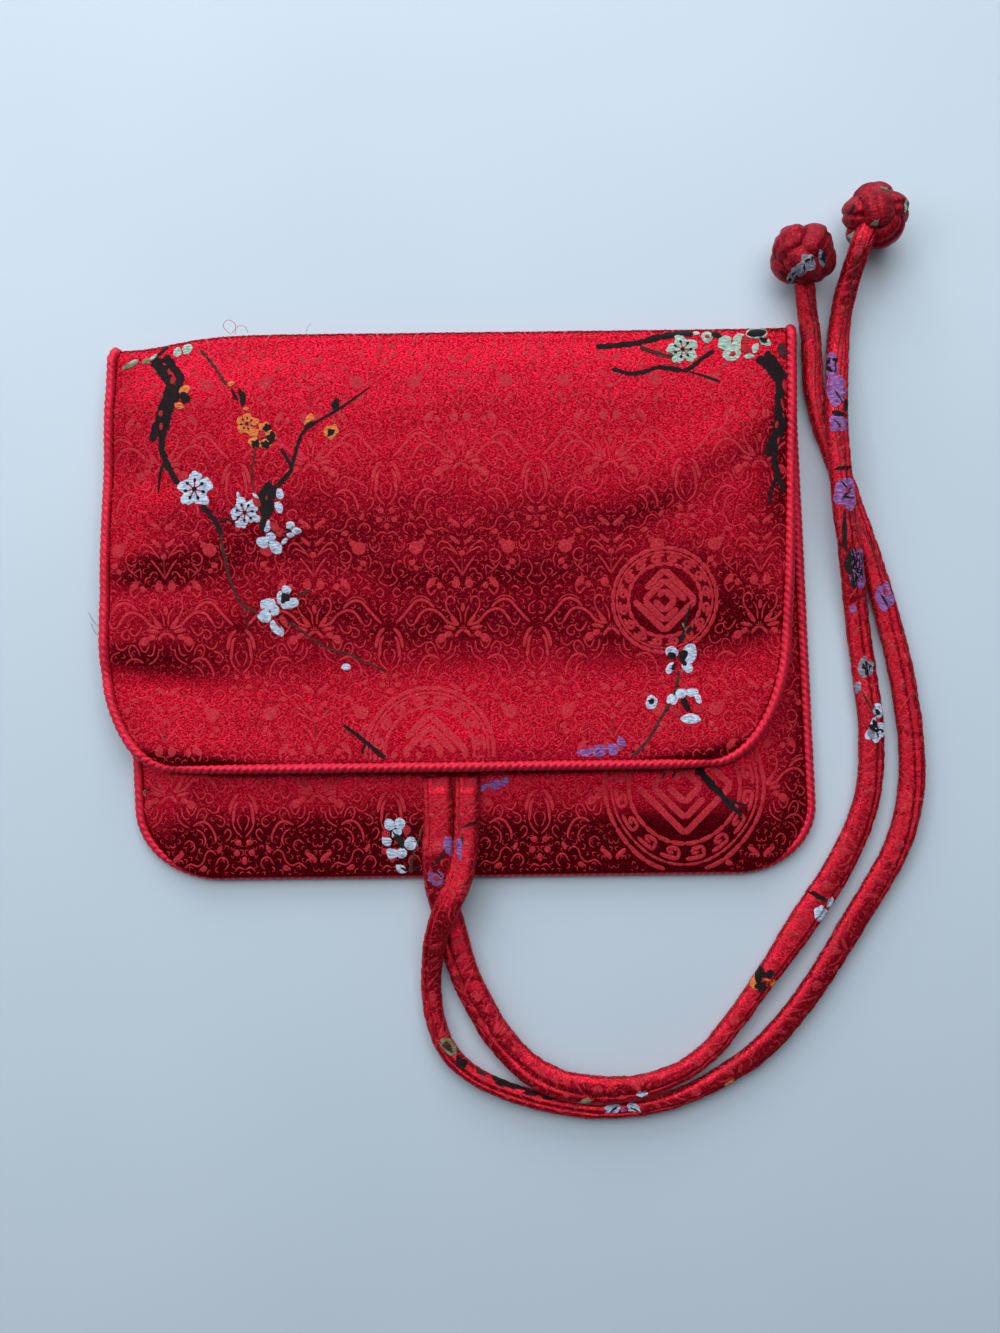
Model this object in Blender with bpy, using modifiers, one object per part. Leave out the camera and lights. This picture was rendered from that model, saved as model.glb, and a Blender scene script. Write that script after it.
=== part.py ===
# Silk brocade makeup bag, closed, lying on its back with its two ties loose.
# Metres, +Z up. The origin is under the middle of the bag, on the surface it lies on.
# The cloth is one long outer panel (back, fold and flap), a pocket panel sewn on the back
# panel, a lining inside each, and one twisted cord in the seam all the way round.

import math

import bmesh
import bpy
from mathutils import Vector

# Cloth and cord
BROCADE = 0.0010          # outer cloth with its wadding
LINING = 0.0005
CORD = 0.0033             # twisted cord in the seam, diameter
TIE = 0.0060              # stuffed brocade tie, diameter
CLEAR = 0.0003            # left between two pieces that touch
LINING_CLEAR = 0.0005     # between a cloth and the lining that hangs inside it

# Outer panel, measured to the cut edge of the cloth
BODY_WIDTH = 0.1962
BODY_DROP = 0.1588        # fold line to the lower seam
BODY_LEAN = 0.036         # sideways shift for each unit of drop
BODY_CORNER = (0.022, 0.018)
FLAP_WIDTH = 0.1966
FLAP_DROP = 0.1263        # fold line to the lower edge of the flap
FLAP_LEAN = -0.034
FLAP_BOW = 0.0008         # how far each side bows out
FLAP_CORNER = (0.020, 0.036)
FOLD_X = -0.0006          # middle of the fold line
FOLD_RADIUS = 0.0029
FOLD_SAG = 0.0045         # the left end of the fold hangs back
SAG_REACH = 0.020

# Pocket panel and linings
MOUTH_DROP = 0.0190       # fold line to the pocket's mouth
LINING_INSET = 0.0075     # from the cut edge of the cloth that it lines
MOUTH_HEM = 0.0020        # the pocket's lining stops this far below its mouth

# Soft heights
SEAM_LIFT = 0.0006        # the seam rides up off the table
SEAM_REACH = 0.0040
POCKET_FILL = 0.0013      # air in the flat pocket
CROWN_RISE = 0.0020
CROWN_DROP = 0.0450       # fold line to the crown
CROWN_REACH = 0.0260
PUFF_REACH = 0.0070       # how fast the cloth rises from its seam
FLAP_SLACK = 0.0002
FLAP_SIDE_Z = 0.0071      # middle of the cloth along the flap's sides
FLAP_LIP = 0.0006         # the flap lifts over its own cord
LIP_REACH = 0.0120
FOLD_DROOP = 0.0010
DROOP_REACH = 0.0090
PUCKER = 0.0007
PUCKER_PITCH = 0.0290
PUCKER_REACH = 0.0120

# Grid of the cloth
COLUMNS = 14
CORNER_ROWS = 5
BACK_ROWS = 7
FLAP_ROWS = 12
FOLD_ROWS = 6
POCKET_ROWS = 9

# Button knots: one strand woven round a ball, with three leads and four bights
KNOT_RADIUS = 0.0103
STRAND_WIDTH = 0.0051
STRAND_THICK = 0.0028
WEAVE = 0.0020            # a strand's rise and fall at each crossing
STEEPNESS = 2.4           # how fast a strand drops from over to under
LEADS = 3
BIGHTS = 4
BIGHT_LATITUDE = math.radians(54)
KNOT_SINK = 0.0009         # its lowest bight is this much inside the ball
KNOT_POINTS = 64
KNOT_SIDES = 8
LEFT_KNOT_AT = (0.1238, 0.1115)
RIGHT_KNOT_AT = (0.1026, 0.1009)

# Tie routes, in millimetres, from under the flap to the knot
LEFT_ROUTE = (
    (-6.7, -53.0, 8.9), (-6.4, -59.4, 8.9), (-6.5, -66.1, 8.8), (-6.8, -72.6, 8.6),
    (-6.8, -78.7, 7.6), (-6.2, -84.7, 5.2), (-4.9, -90.6, 3.4), (-2.7, -98.7, 3.1),
    (-0.7, -106.8, 3.1), (2.2, -114.3, 3.1), (6.0, -121.8, 3.1), (10.3, -129.0, 3.1),
    (15.6, -135.2, 3.2), (22.1, -140.3, 4.4), (30.3, -143.5, 5.8), (40.3, -144.7, 6.4),
    (50.3, -144.2, 6.3), (59.4, -142.0, 5.2), (67.3, -138.7, 3.8), (74.0, -133.6, 3.1),
    (81.0, -125.3, 3.1), (88.6, -115.0, 3.1), (96.1, -104.4, 3.1), (104.0, -92.9, 3.1),
    (111.6, -81.6, 3.1), (117.4, -70.4, 3.1), (121.1, -60.0, 3.1), (122.7, -48.7, 3.1),
    (122.6, -36.2, 3.1), (121.2, -24.3, 3.1), (119.6, -12.3, 3.1), (118.3, -1.9, 4.0),
    (117.0, 6.9, 6.0), (115.7, 15.6, 8.2), (114.3, 24.3, 9.4), (113.2, 34.5, 9.6),
    (112.5, 43.4, 9.6), (112.1, 52.3, 9.2), (112.7, 61.6, 7.2), (113.6, 71.0, 4.6),
    (114.6, 79.2, 3.3), (116.0, 87.4, 3.6), (118.0, 94.9, 5.2),
)
RIGHT_ROUTE = (
    (2.2, -53.0, 8.9), (2.1, -59.5, 8.9), (1.8, -66.2, 8.9), (1.4, -72.6, 9.2),
    (0.5, -77.8, 9.8), (-1.1, -83.0, 10.4), (-3.4, -87.9, 10.6), (-5.9, -93.3, 9.9),
    (-7.9, -99.9, 7.4), (-9.0, -107.3, 4.4), (-9.4, -115.0, 3.1), (-8.4, -123.1, 3.1),
    (-6.1, -130.5, 3.1), (-2.0, -136.5, 3.1), (4.2, -141.4, 3.1), (11.9, -145.1, 3.1),
    (21.1, -148.2, 3.1), (30.9, -150.4, 3.1), (40.4, -151.4, 3.1), (50.6, -150.9, 3.1),
    (60.1, -149.2, 3.1), (69.4, -145.8, 3.1), (78.7, -140.8, 3.1), (87.4, -135.0, 3.1),
    (95.6, -127.0, 3.1), (103.1, -117.6, 3.1), (110.1, -107.2, 3.1), (116.5, -96.9, 3.1),
    (122.9, -86.8, 3.1), (128.6, -77.1, 3.1), (132.6, -66.7, 3.1), (134.6, -55.7, 3.1),
    (134.7, -43.8, 3.1), (133.4, -31.9, 3.1), (131.1, -18.4, 3.1), (128.0, -5.6, 3.1),
    (124.9, 6.1, 3.1), (121.4, 17.4, 3.1), (118.0, 27.3, 3.1), (115.1, 36.0, 3.1),
    (111.9, 44.4, 3.1), (108.9, 53.3, 3.1), (106.8, 62.3, 3.1), (106.4, 70.6, 3.1),
    (105.9, 78.3, 3.7), (104.9, 84.3, 5.0),
)
TIE_STEP = 0.0105         # between two points of a tie's tube

# Derived places
FOLD_Y = (BODY_DROP + CORD / 2 + CLEAR + BROCADE / 2) / 2
FOLD_CENTRE_Y = FOLD_Y - BROCADE / 2 - FOLD_RADIUS
BODY_EDGE_Y = FOLD_Y - BODY_DROP
FLAP_EDGE_Y = FOLD_Y - FLAP_DROP
MOUTH_Y = FOLD_Y - MOUTH_DROP
CROWN_Y = FOLD_Y - CROWN_DROP
LINING_OFFSET = BROCADE / 2 + LINING_CLEAR + LINING / 2
SEAM_STEP = BROCADE + CLEAR


def clear_scene():
    for obj in list(bpy.data.objects):
        bpy.data.objects.remove(obj, do_unlink=True)


def make_material(name, colour, roughness, sheen=0.0):
    material = bpy.data.materials.new(name)
    material.use_nodes = True
    shader = material.node_tree.nodes["Principled BSDF"]
    shader.inputs["Base Color"].default_value = (*colour, 1.0)
    shader.inputs["Roughness"].default_value = roughness
    shader.inputs["Metallic"].default_value = 0.0
    shader.inputs["Sheen Weight"].default_value = sheen
    return material


def bell(distance, reach):
    return math.exp(-(distance / reach) ** 2)


# Half of a panel's width at a height above its lower edge, with elliptical corners.
def half_width(height, width, corner, bow=0.0, drop=1.0):
    across, along = corner
    half = width / 2
    if bow:
        half += bow * math.sin(math.pi * min(max(height / drop, 0.0), 1.0))
    if height >= along:
        return half
    short = (along - max(height, 0.0)) / along
    return half - across * (1 - math.sqrt(max(1 - short * short, 0.0)))


def body_side(y):
    half = half_width(y - BODY_EDGE_Y, BODY_WIDTH, BODY_CORNER)
    return FOLD_X + BODY_LEAN * (FOLD_Y - y), half


def flap_side(y):
    half = half_width(y - FLAP_EDGE_Y, FLAP_WIDTH, FLAP_CORNER, FLAP_BOW, FLAP_DROP)
    return FOLD_X + FLAP_LEAN * (FOLD_Y - y), half


# Distance to the nearest cut edge, eased where the lower edge meets a side.
def edge_distance(x, y, side, lower_y):
    middle, half = side(y)
    across = max(half - abs(x - middle), 1e-6)
    along = max(y - lower_y, 1e-6)
    return 1 / math.hypot(1 / across, 1 / along)


def back_height(x, y):
    return BROCADE / 2 + SEAM_LIFT * bell(edge_distance(x, y, body_side, BODY_EDGE_Y), SEAM_REACH)


def pocket_rise(y):
    linings = 2 * (LINING + LINING_CLEAR) + CLEAR
    room = BROCADE / 2 + linings + BROCADE / 2
    return room - SEAM_LIFT - SEAM_STEP + POCKET_FILL + CROWN_RISE * bell(y - CROWN_Y, CROWN_REACH)


def pocket_height(x, y):
    distance = edge_distance(x, y, body_side, BODY_EDGE_Y)
    seam = BROCADE / 2 + SEAM_LIFT + SEAM_STEP
    return seam + pocket_rise(y) * (1 - math.exp(-distance / PUFF_REACH))


def flap_height(x, y):
    middle, half = flap_side(y)
    across = max(half - abs(x - middle), 0.0)
    below = BROCADE / 2 + SEAM_LIFT + SEAM_STEP + pocket_rise(y)
    crown = below + BROCADE + LINING_CLEAR + LINING + CLEAR + FLAP_SLACK
    # where the flap's edge lies over the pocket, its cord stays clear of the cloth under it
    edge = middle + math.copysign(half, x - middle)
    side = max(FLAP_SIDE_Z, pocket_height(edge, y) + (BROCADE + CORD) / 2 + CLEAR + PUCKER)
    height = side + (crown - side) * (1 - math.exp(-across / PUFF_REACH))
    height += FLAP_LIP * math.exp(-max(y - FLAP_EDGE_Y, 0.0) / LIP_REACH)
    height -= FOLD_DROOP * bell(FOLD_CENTRE_Y - y, DROOP_REACH)
    wave = 0.5 - 0.5 * math.cos(2 * math.pi * (FOLD_Y - y) / PUCKER_PITCH)
    fade = min(1.0, (FOLD_CENTRE_Y - y) / PUCKER_PITCH) * min(1.0, (y - FLAP_EDGE_Y) / PUCKER_PITCH)
    return height - PUCKER * wave * max(fade, 0.0) * math.exp(-across / PUCKER_REACH)


# Heights of the rows above a lower edge: close together in the corners, then even.
def rows_up(corner_length, straight_rows, top):
    rows = []
    for i in range(CORNER_ROWS):
        rows.append(corner_length * (1 - math.cos(math.pi / 2 * i / CORNER_ROWS)))
    for i in range(straight_rows + 1):
        rows.append(corner_length + (top - corner_length) * i / straight_rows)
    return rows


# Places across a panel from -1 to 1, closer together towards the sides.
def columns_across():
    places = []
    for i in range(COLUMNS + 1):
        t = 2 * i / COLUMNS - 1
        places.append(1.5 * t - 0.5 * t ** 3)
    return places


def cut_corner(corner, inset):
    return (max(corner[0] - inset, 0.002), max(corner[1] - inset, 0.002))


def sag_back(x, y):
    left = FOLD_X - BODY_WIDTH / 2
    return y - FOLD_SAG * bell(x - left, SAG_REACH) * bell(FOLD_Y - y, SAG_REACH)


# The long panel, from the lower seam of the back, over the fold, to the flap's edge.
# The same rows make the outer cloth (inset 0, offset 0) and its lining inside it.
def long_panel_rows(inset, offset):
    across = columns_across()
    rows = []
    body_corner = cut_corner(BODY_CORNER, inset)
    body_low = BODY_EDGE_Y + inset
    for up in rows_up(body_corner[1], BACK_ROWS, FOLD_CENTRE_Y - body_low):
        y = body_low + up
        half = half_width(up, BODY_WIDTH - 2 * inset, body_corner)
        middle = body_side(y)[0]
        xs = [middle + u * half for u in across]
        rows.append([(x, sag_back(x, y), back_height(x, y) + offset) for x in xs])
    half = BODY_WIDTH / 2 - inset
    middle = body_side(FOLD_CENTRE_Y)[0]
    for i in range(1, FOLD_ROWS):
        turn = math.pi * i / FOLD_ROWS
        y = FOLD_CENTRE_Y + (FOLD_RADIUS - offset) * math.sin(turn)
        row = []
        for u in across:
            x = middle + u * half
            low = back_height(x, FOLD_CENTRE_Y) + offset
            high = flap_height(x, FOLD_CENTRE_Y) - offset
            z = (low + high) / 2 - (high - low) / 2 * math.cos(turn)
            row.append((x, sag_back(x, y), z))
        rows.append(row)
    flap_corner = cut_corner(FLAP_CORNER, inset)
    flap_low = FLAP_EDGE_Y + inset
    drop = FLAP_DROP - inset
    for up in reversed(rows_up(flap_corner[1], FLAP_ROWS, FOLD_CENTRE_Y - flap_low)):
        y = flap_low + up
        half = half_width(up, FLAP_WIDTH - 2 * inset, flap_corner, FLAP_BOW, drop)
        middle = flap_side(y)[0]
        xs = [middle + u * half for u in across]
        rows.append([(x, sag_back(x, y), flap_height(x, y) - offset) for x in xs])
    return rows


# The pocket panel, from the lower seam up to the mouth, and its lining under it.
def pocket_rows(inset, offset, hem):
    across = columns_across()
    rows = []
    corner = cut_corner(BODY_CORNER, inset)
    low = BODY_EDGE_Y + inset
    for up in rows_up(corner[1], POCKET_ROWS, MOUTH_Y - hem - low):
        y = low + up
        half = half_width(up, BODY_WIDTH - 2 * inset, corner)
        middle = body_side(y)[0]
        xs = [middle + u * half for u in across]
        rows.append([(x, y, pocket_height(x, y) - offset) for x in xs])
    return rows


def add_object(name, data, material, collection):
    data.materials.append(material)
    obj = bpy.data.objects.new(name, data)
    collection.objects.link(obj)
    return obj


# An open grid of cloth with a Solidify modifier that gives it its thickness.
def make_cloth(name, rows, thickness, material, collection):
    mesh = bpy.data.meshes.new(name)
    bm = bmesh.new()
    grid = [[bm.verts.new(point) for point in row] for row in rows]
    for lower, upper in zip(grid, grid[1:]):
        for i in range(len(lower) - 1):
            bm.faces.new((lower[i], upper[i], upper[i + 1], lower[i + 1]))
    bm.to_mesh(mesh)
    bm.free()
    mesh.shade_smooth()
    obj = add_object(name, mesh, material, collection)
    solidify = obj.modifiers.new("Cloth thickness", "SOLIDIFY")
    solidify.thickness = thickness
    solidify.offset = 0.0
    return obj


def make_tube(name, points, diameter, closed, material, collection):
    curve = bpy.data.curves.new(name, "CURVE")
    curve.dimensions = "3D"
    curve.bevel_depth = diameter / 2
    curve.bevel_resolution = 2
    curve.use_fill_caps = True
    spline = curve.splines.new("POLY")
    spline.points.add(len(points) - 1)
    for target, point in zip(spline.points, points):
        target.co = (*point, 1.0)
    spline.use_cyclic_u = closed
    return add_object(name, curve, material, collection)


# The cord lies against the cut edge of the long panel all the way round. Along the back
# it is level with the join between the back panel and the pocket panel.
def seam_cord_points(rows):
    grid = [[Vector(point) for point in row] for row in rows]
    last = len(grid) - 1
    edge = []
    for i in range(COLUMNS + 1):
        edge.append((grid[0][i], grid[1][i]))
    for j in range(1, last):
        edge.append((grid[j][-1], grid[j][-2]))
    for i in range(COLUMNS, -1, -1):
        edge.append((grid[last][i], grid[last - 1][i]))
    for j in range(last - 1, 0, -1):
        edge.append((grid[j][0], grid[j][1]))
    back_rows = CORNER_ROWS + BACK_ROWS + 1
    points = []
    for k, (point, inner) in enumerate(edge):
        along = (edge[(k + 1) % len(edge)][0] - edge[k - 1][0]).normalized()
        out = point - inner
        out = (out - out.dot(along) * along).normalized()
        place = point + out * (CORD / 2 + CLEAR)
        on_back = k <= COLUMNS + back_rows - 1 or k >= len(edge) - back_rows + 1
        if on_back:
            fade = min(1.0, max(0.0, (FOLD_CENTRE_Y - point.y) / MOUTH_DROP))
            place.z += SEAM_STEP / 2 * fade
        place.z = max(place.z, CORD / 2)
        points.append(place)
    return points


# A smooth curve through a route's points, read at even steps along its length.
def smooth_route(route, step):
    knots = [Vector(point) / 1000 for point in route]
    knots = [2 * knots[0] - knots[1]] + knots + [2 * knots[-1] - knots[-2]]
    fine = []
    for a, b, c, d in zip(knots, knots[1:], knots[2:], knots[3:]):
        for i in range(10):
            t = i / 10
            fine.append(0.5 * (2 * b + (c - a) * t + (2 * a - 5 * b + 4 * c - d) * t ** 2
                               + (3 * b - a - 3 * c + d) * t ** 3))
    fine.append(knots[-2])
    lengths = [0.0]
    for a, b in zip(fine, fine[1:]):
        lengths.append(lengths[-1] + (b - a).length)
    count = max(2, round(lengths[-1] / step))
    points = []
    j = 0
    for i in range(count + 1):
        target = lengths[-1] * i / count
        while j < len(fine) - 2 and lengths[j + 1] < target:
            j += 1
        share = (target - lengths[j]) / (lengths[j + 1] - lengths[j])
        points.append(fine[j].lerp(fine[j + 1], share))
    return points


# Rings of points round the one endless strand of a button knot, which goes over and under
# itself by turns. The knot's pole is at +Z and its middle is at the origin.
def strand_rings():
    mid = KNOT_RADIUS - WEAVE - STRAND_THICK / 2
    path = []
    for i in range(KNOT_POINTS):
        turn = 2 * math.pi * LEADS * i / KNOT_POINTS
        phase = turn * BIGHTS / LEADS
        latitude = BIGHT_LATITUDE * math.cos(phase)
        radius = mid + WEAVE * math.tanh(STEEPNESS * math.sin(2 * phase)) / math.tanh(STEEPNESS)
        path.append(Vector((math.cos(latitude) * math.cos(turn),
                            math.cos(latitude) * math.sin(turn),
                            math.sin(latitude))) * radius)
    rings = []
    for i, point in enumerate(path):
        along = (path[(i + 1) % KNOT_POINTS] - path[i - 1]).normalized()
        side = along.cross(point).normalized()
        outward = side.cross(along)
        ring = []
        for k in range(KNOT_SIDES):
            angle = 2 * math.pi * k / KNOT_SIDES
            offset = side * math.cos(angle) * STRAND_WIDTH / 2
            offset += outward * math.sin(angle) * STRAND_THICK / 2
            ring.append(point + offset)
        rings.append(ring)
    return rings


# How far from the middle of the knot a tie ends, pushed down between the bights.
def pole_seat(rings):
    reach = TIE / 2 + STRAND_WIDTH / 4
    near = [p.z for ring in rings for p in ring if math.hypot(p.x, p.y) < reach]
    return max(near, default=KNOT_RADIUS) + 2 * CLEAR


def tie_points(route, place, seat):
    centre = Vector((*place, KNOT_RADIUS - KNOT_SINK))
    toward = (Vector(route[-1]) / 1000 - centre).normalized()
    end = centre + toward * seat
    before = centre + toward * (seat + TIE)
    kept = [p for p in route if (Vector(p) / 1000 - centre).length > seat + 2 * TIE]
    return smooth_route(kept + [tuple(before * 1000), tuple(end * 1000)], TIE_STEP)


def make_knot(name, rings, place, tie_end, material, collection):
    centre = Vector((*place, KNOT_RADIUS - KNOT_SINK))
    tilt = Vector((0, 0, 1)).rotation_difference(Vector(tie_end) - centre)
    mesh = bpy.data.meshes.new(name)
    bm = bmesh.new()
    loops = [[bm.verts.new(tilt @ point) for point in ring] for ring in rings]
    for i in range(KNOT_POINTS):
        here, ahead = loops[i], loops[(i + 1) % KNOT_POINTS]
        for k in range(KNOT_SIDES):
            k2 = (k + 1) % KNOT_SIDES
            bm.faces.new((here[k], ahead[k], ahead[k2], here[k2]))
    bmesh.ops.recalc_face_normals(bm, faces=bm.faces)
    bm.to_mesh(mesh)
    bm.free()
    mesh.shade_smooth()
    obj = add_object(name, mesh, material, collection)
    obj.location = (centre.x, centre.y, -min(vertex.co.z for vertex in mesh.vertices))
    return obj


def build():
    clear_scene()
    collection = bpy.data.collections.new("Silk makeup bag")
    bpy.context.scene.collection.children.link(collection)

    brocade = make_material("Brocade", (0.36, 0.018, 0.035), 0.42, 0.3)
    lining = make_material("Satin lining", (0.42, 0.03, 0.05), 0.35)
    cord = make_material("Seam cord", (0.50, 0.025, 0.06), 0.38)
    tie = make_material("Tie brocade", (0.33, 0.016, 0.03), 0.45, 0.3)
    knot = make_material("Knot brocade", (0.38, 0.02, 0.04), 0.45, 0.3)

    outer_rows = long_panel_rows(0.0, 0.0)
    make_cloth("outer_panel", outer_rows, BROCADE, brocade, collection)
    make_cloth("panel_lining", long_panel_rows(LINING_INSET, LINING_OFFSET), LINING, lining,
               collection)
    make_cloth("pocket_panel", pocket_rows(0.0, 0.0, 0.0), BROCADE, brocade, collection)
    make_cloth("pocket_lining", pocket_rows(LINING_INSET, LINING_OFFSET, MOUTH_HEM), LINING,
               lining, collection)
    make_tube("seam_cord", seam_cord_points(outer_rows), CORD, True, cord, collection)

    rings = strand_rings()
    seat = pole_seat(rings)
    left = tie_points(LEFT_ROUTE, LEFT_KNOT_AT, seat)
    right = tie_points(RIGHT_ROUTE, RIGHT_KNOT_AT, seat)
    make_tube("left_tie", left, TIE, False, tie, collection)
    make_tube("right_tie", right, TIE, False, tie, collection)
    make_knot("left_tie_knot", rings, LEFT_KNOT_AT, left[-1], knot, collection)
    make_knot("right_tie_knot", rings, RIGHT_KNOT_AT, right[-1], knot, collection)


build()
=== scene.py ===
import math
import random

import bpy
from mathutils.bvhtree import BVHTree
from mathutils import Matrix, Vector, noise


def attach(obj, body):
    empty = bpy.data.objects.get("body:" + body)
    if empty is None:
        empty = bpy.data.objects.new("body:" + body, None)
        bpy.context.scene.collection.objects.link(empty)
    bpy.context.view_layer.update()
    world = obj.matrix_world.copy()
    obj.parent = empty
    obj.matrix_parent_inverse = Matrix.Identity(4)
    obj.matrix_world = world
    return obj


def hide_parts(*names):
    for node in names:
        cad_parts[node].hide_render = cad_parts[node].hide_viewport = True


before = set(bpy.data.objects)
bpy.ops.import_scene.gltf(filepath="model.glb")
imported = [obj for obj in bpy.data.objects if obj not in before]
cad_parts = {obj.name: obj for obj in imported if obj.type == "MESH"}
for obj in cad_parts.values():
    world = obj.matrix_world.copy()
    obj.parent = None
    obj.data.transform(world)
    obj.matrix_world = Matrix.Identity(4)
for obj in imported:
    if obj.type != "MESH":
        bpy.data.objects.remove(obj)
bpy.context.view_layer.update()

scene = bpy.context.scene
scene.view_settings.view_transform = "Standard"

# the camera: straight above the bag, turned a little, as the bag was photographed
camera = {
    "height": 0.42,
    "lens": 37.8,
    "centre": (0.01228, -0.01891),
    "turn": -0.7,           # degrees
    "viewMiddle": (500, 666.5),
}
pixel = 0.0003              # one pixel of the 1000 x 1333 view, on the table
# how high the cloth lies where places in the view are read off
readHeight = {"flap": 0.008, "flapSprays": 0.0085, "pocket": 0.005, "tie": 0.004, "knot": 0.017}


def addCamera():
    data = bpy.data.cameras.new("viewFromAbove")
    data.lens = camera["lens"]
    data.sensor_width = 36
    data.clip_start = 0.01
    obj = bpy.data.objects.new("viewFromAbove", data)
    obj.location = (camera["centre"][0], camera["centre"][1], camera["height"])
    obj.rotation_euler = (0, 0, math.radians(camera["turn"]))
    scene.collection.objects.link(obj)
    scene.camera = obj


# where a place in the view lies on a level plane at height z
def fromAbove(px, py, z=0.0):
    size = pixel * (1 - z / camera["height"])
    middleX, middleY = camera["viewMiddle"]
    dx, dy = (px - middleX) * size, (middleY - py) * size
    a = math.radians(-camera["turn"])
    x = dx * math.cos(a) + dy * math.sin(a) + camera["centre"][0]
    y = -dx * math.sin(a) + dy * math.cos(a) + camera["centre"][1]
    return x, y


addCamera()
print("camera set")


# a soft bump: 1 in its middle, next to nothing past twice its reach
def bell(distance, reach):
    return math.exp(-(distance / reach) ** 2)


# from 0 at a to 1 at b, slow at both ends
def ease(a, b, t):
    t = min(max((t - a) / (b - a), 0.0), 1.0)
    return t * t * (3 - 2 * t)


# a smooth curve through points, with about even steps
def smoothLine(points, step, closed=False):
    pts = [Vector(p) for p in points]
    if closed:
        pts = [pts[-1]] + pts + [pts[0], pts[1]]
    else:
        pts = [2 * pts[0] - pts[1]] + pts + [2 * pts[-1] - pts[-2]]
    fine = []
    for a, b, c, d in zip(pts, pts[1:], pts[2:], pts[3:]):
        n = max(2, int((c - b).length / step * 3) + 1)
        for i in range(n):
            t = i / n
            fine.append(0.5 * (2 * b + (c - a) * t + (2 * a - 5 * b + 4 * c - d) * t ** 2
                               + (3 * b - a - 3 * c + d) * t ** 3))
    fine.append(pts[-2])
    gone = [0.0]
    for a, b in zip(fine, fine[1:]):
        gone.append(gone[-1] + (b - a).length)
    count = max(2, round(gone[-1] / step))
    out = []
    j = 0
    for i in range(count + (0 if closed else 1)):
        want = gone[-1] * i / count
        while j < len(fine) - 2 and gone[j + 1] < want:
            j += 1
        out.append(fine[j].lerp(fine[j + 1], (want - gone[j]) / max(gone[j + 1] - gone[j], 1e-9)))
    return out


# the way a line runs at its point i
def wayAt(line, i, closed=False):
    if closed:
        return (line[(i + 1) % len(line)] - line[i - 1]).normalized()
    return (line[min(i + 1, len(line) - 1)] - line[max(i - 1, 0)]).normalized()


# a mesh in the making: points, faces, a flat place for each point, a material for each face
def newWork():
    return {"points": [], "faces": [], "flat": [], "slots": []}


def finishWork(work, name, materials):
    mesh = bpy.data.meshes.new(name)
    mesh.from_pydata(work["points"], [], work["faces"])
    uv = mesh.uv_layers.new(name="flat")
    flat = work["flat"]
    for loop in mesh.loops:
        u, v = flat[loop.vertex_index]
        uv.data[loop.index].uv = (u * 10, v * 10)      # one unit is 100 mm
    for material in materials:
        mesh.materials.append(material)
    if work["slots"]:
        for poly, slot in zip(mesh.polygons, work["slots"]):
            poly.material_index = slot
    mesh.shade_smooth()
    mesh.update()
    obj = bpy.data.objects.new(name, mesh)
    scene.collection.objects.link(obj)
    return obj


# faces between rings of n points each; a closed row of rings comes back to its first
def joinRings(work, rings, n, start=0, closed=False, turned=False):
    for i in range(rings if closed else rings - 1):
        here, there = start + i * n, start + (i + 1) % rings * n
        for j in range(n):
            k = (j + 1) % n
            if turned:
                work["faces"].append((here + j, there + j, there + k, here + k))
            else:
                work["faces"].append((here + j, here + k, there + k, there + j))


# a sheet of faces over rows of points
def gridWork(rows, flats):
    work = newWork()
    wide = len(rows[0])
    for row, flat in zip(rows, flats):
        work["points"] += [tuple(p) for p in row]
        work["flat"] += flat
    for j in range(len(rows) - 1):
        for i in range(wide - 1):
            k = j * wide + i
            work["faces"].append((k, k + wide, k + wide + 1, k + 1))
    return work


def nodesOf(name):
    material = bpy.data.materials.new(name)
    material.use_nodes = True
    tree = material.node_tree
    return material, tree, tree.nodes["Principled BSDF"]


# a node with its values: settings of the node, or else its inputs
def addNode(tree, kind, **values):
    node = tree.nodes.new(kind)
    for key, value in values.items():
        if hasattr(node, key):
            setattr(node, key, value)
        else:
            node.inputs[key.replace("_", " ")].default_value = value
    return node


# the place on the cloth laid flat, stretched by scale
def flatPlace(tree, scale):
    uv = addNode(tree, "ShaderNodeUVMap", uv_map="flat")
    move = addNode(tree, "ShaderNodeMapping")
    move.inputs["Scale"].default_value = scale
    tree.links.new(uv.outputs["UV"], move.inputs["Vector"])
    return move.outputs["Vector"]


def ramp(tree, source, stops):
    node = addNode(tree, "ShaderNodeValToRGB")
    band = node.color_ramp
    while len(band.elements) < len(stops):
        band.elements.new(0.5)
    for element, (place, colour) in zip(band.elements, stops):
        element.position = place
        element.color = (*colour, 1)
    tree.links.new(source, node.inputs["Fac"])
    return node.outputs["Color"]


def spread(tree, source, low, high):
    node = addNode(tree, "ShaderNodeMapRange")
    node.inputs["To Min"].default_value = low
    node.inputs["To Max"].default_value = high
    tree.links.new(source, node.inputs["Value"])
    return node.outputs["Result"]


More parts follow.
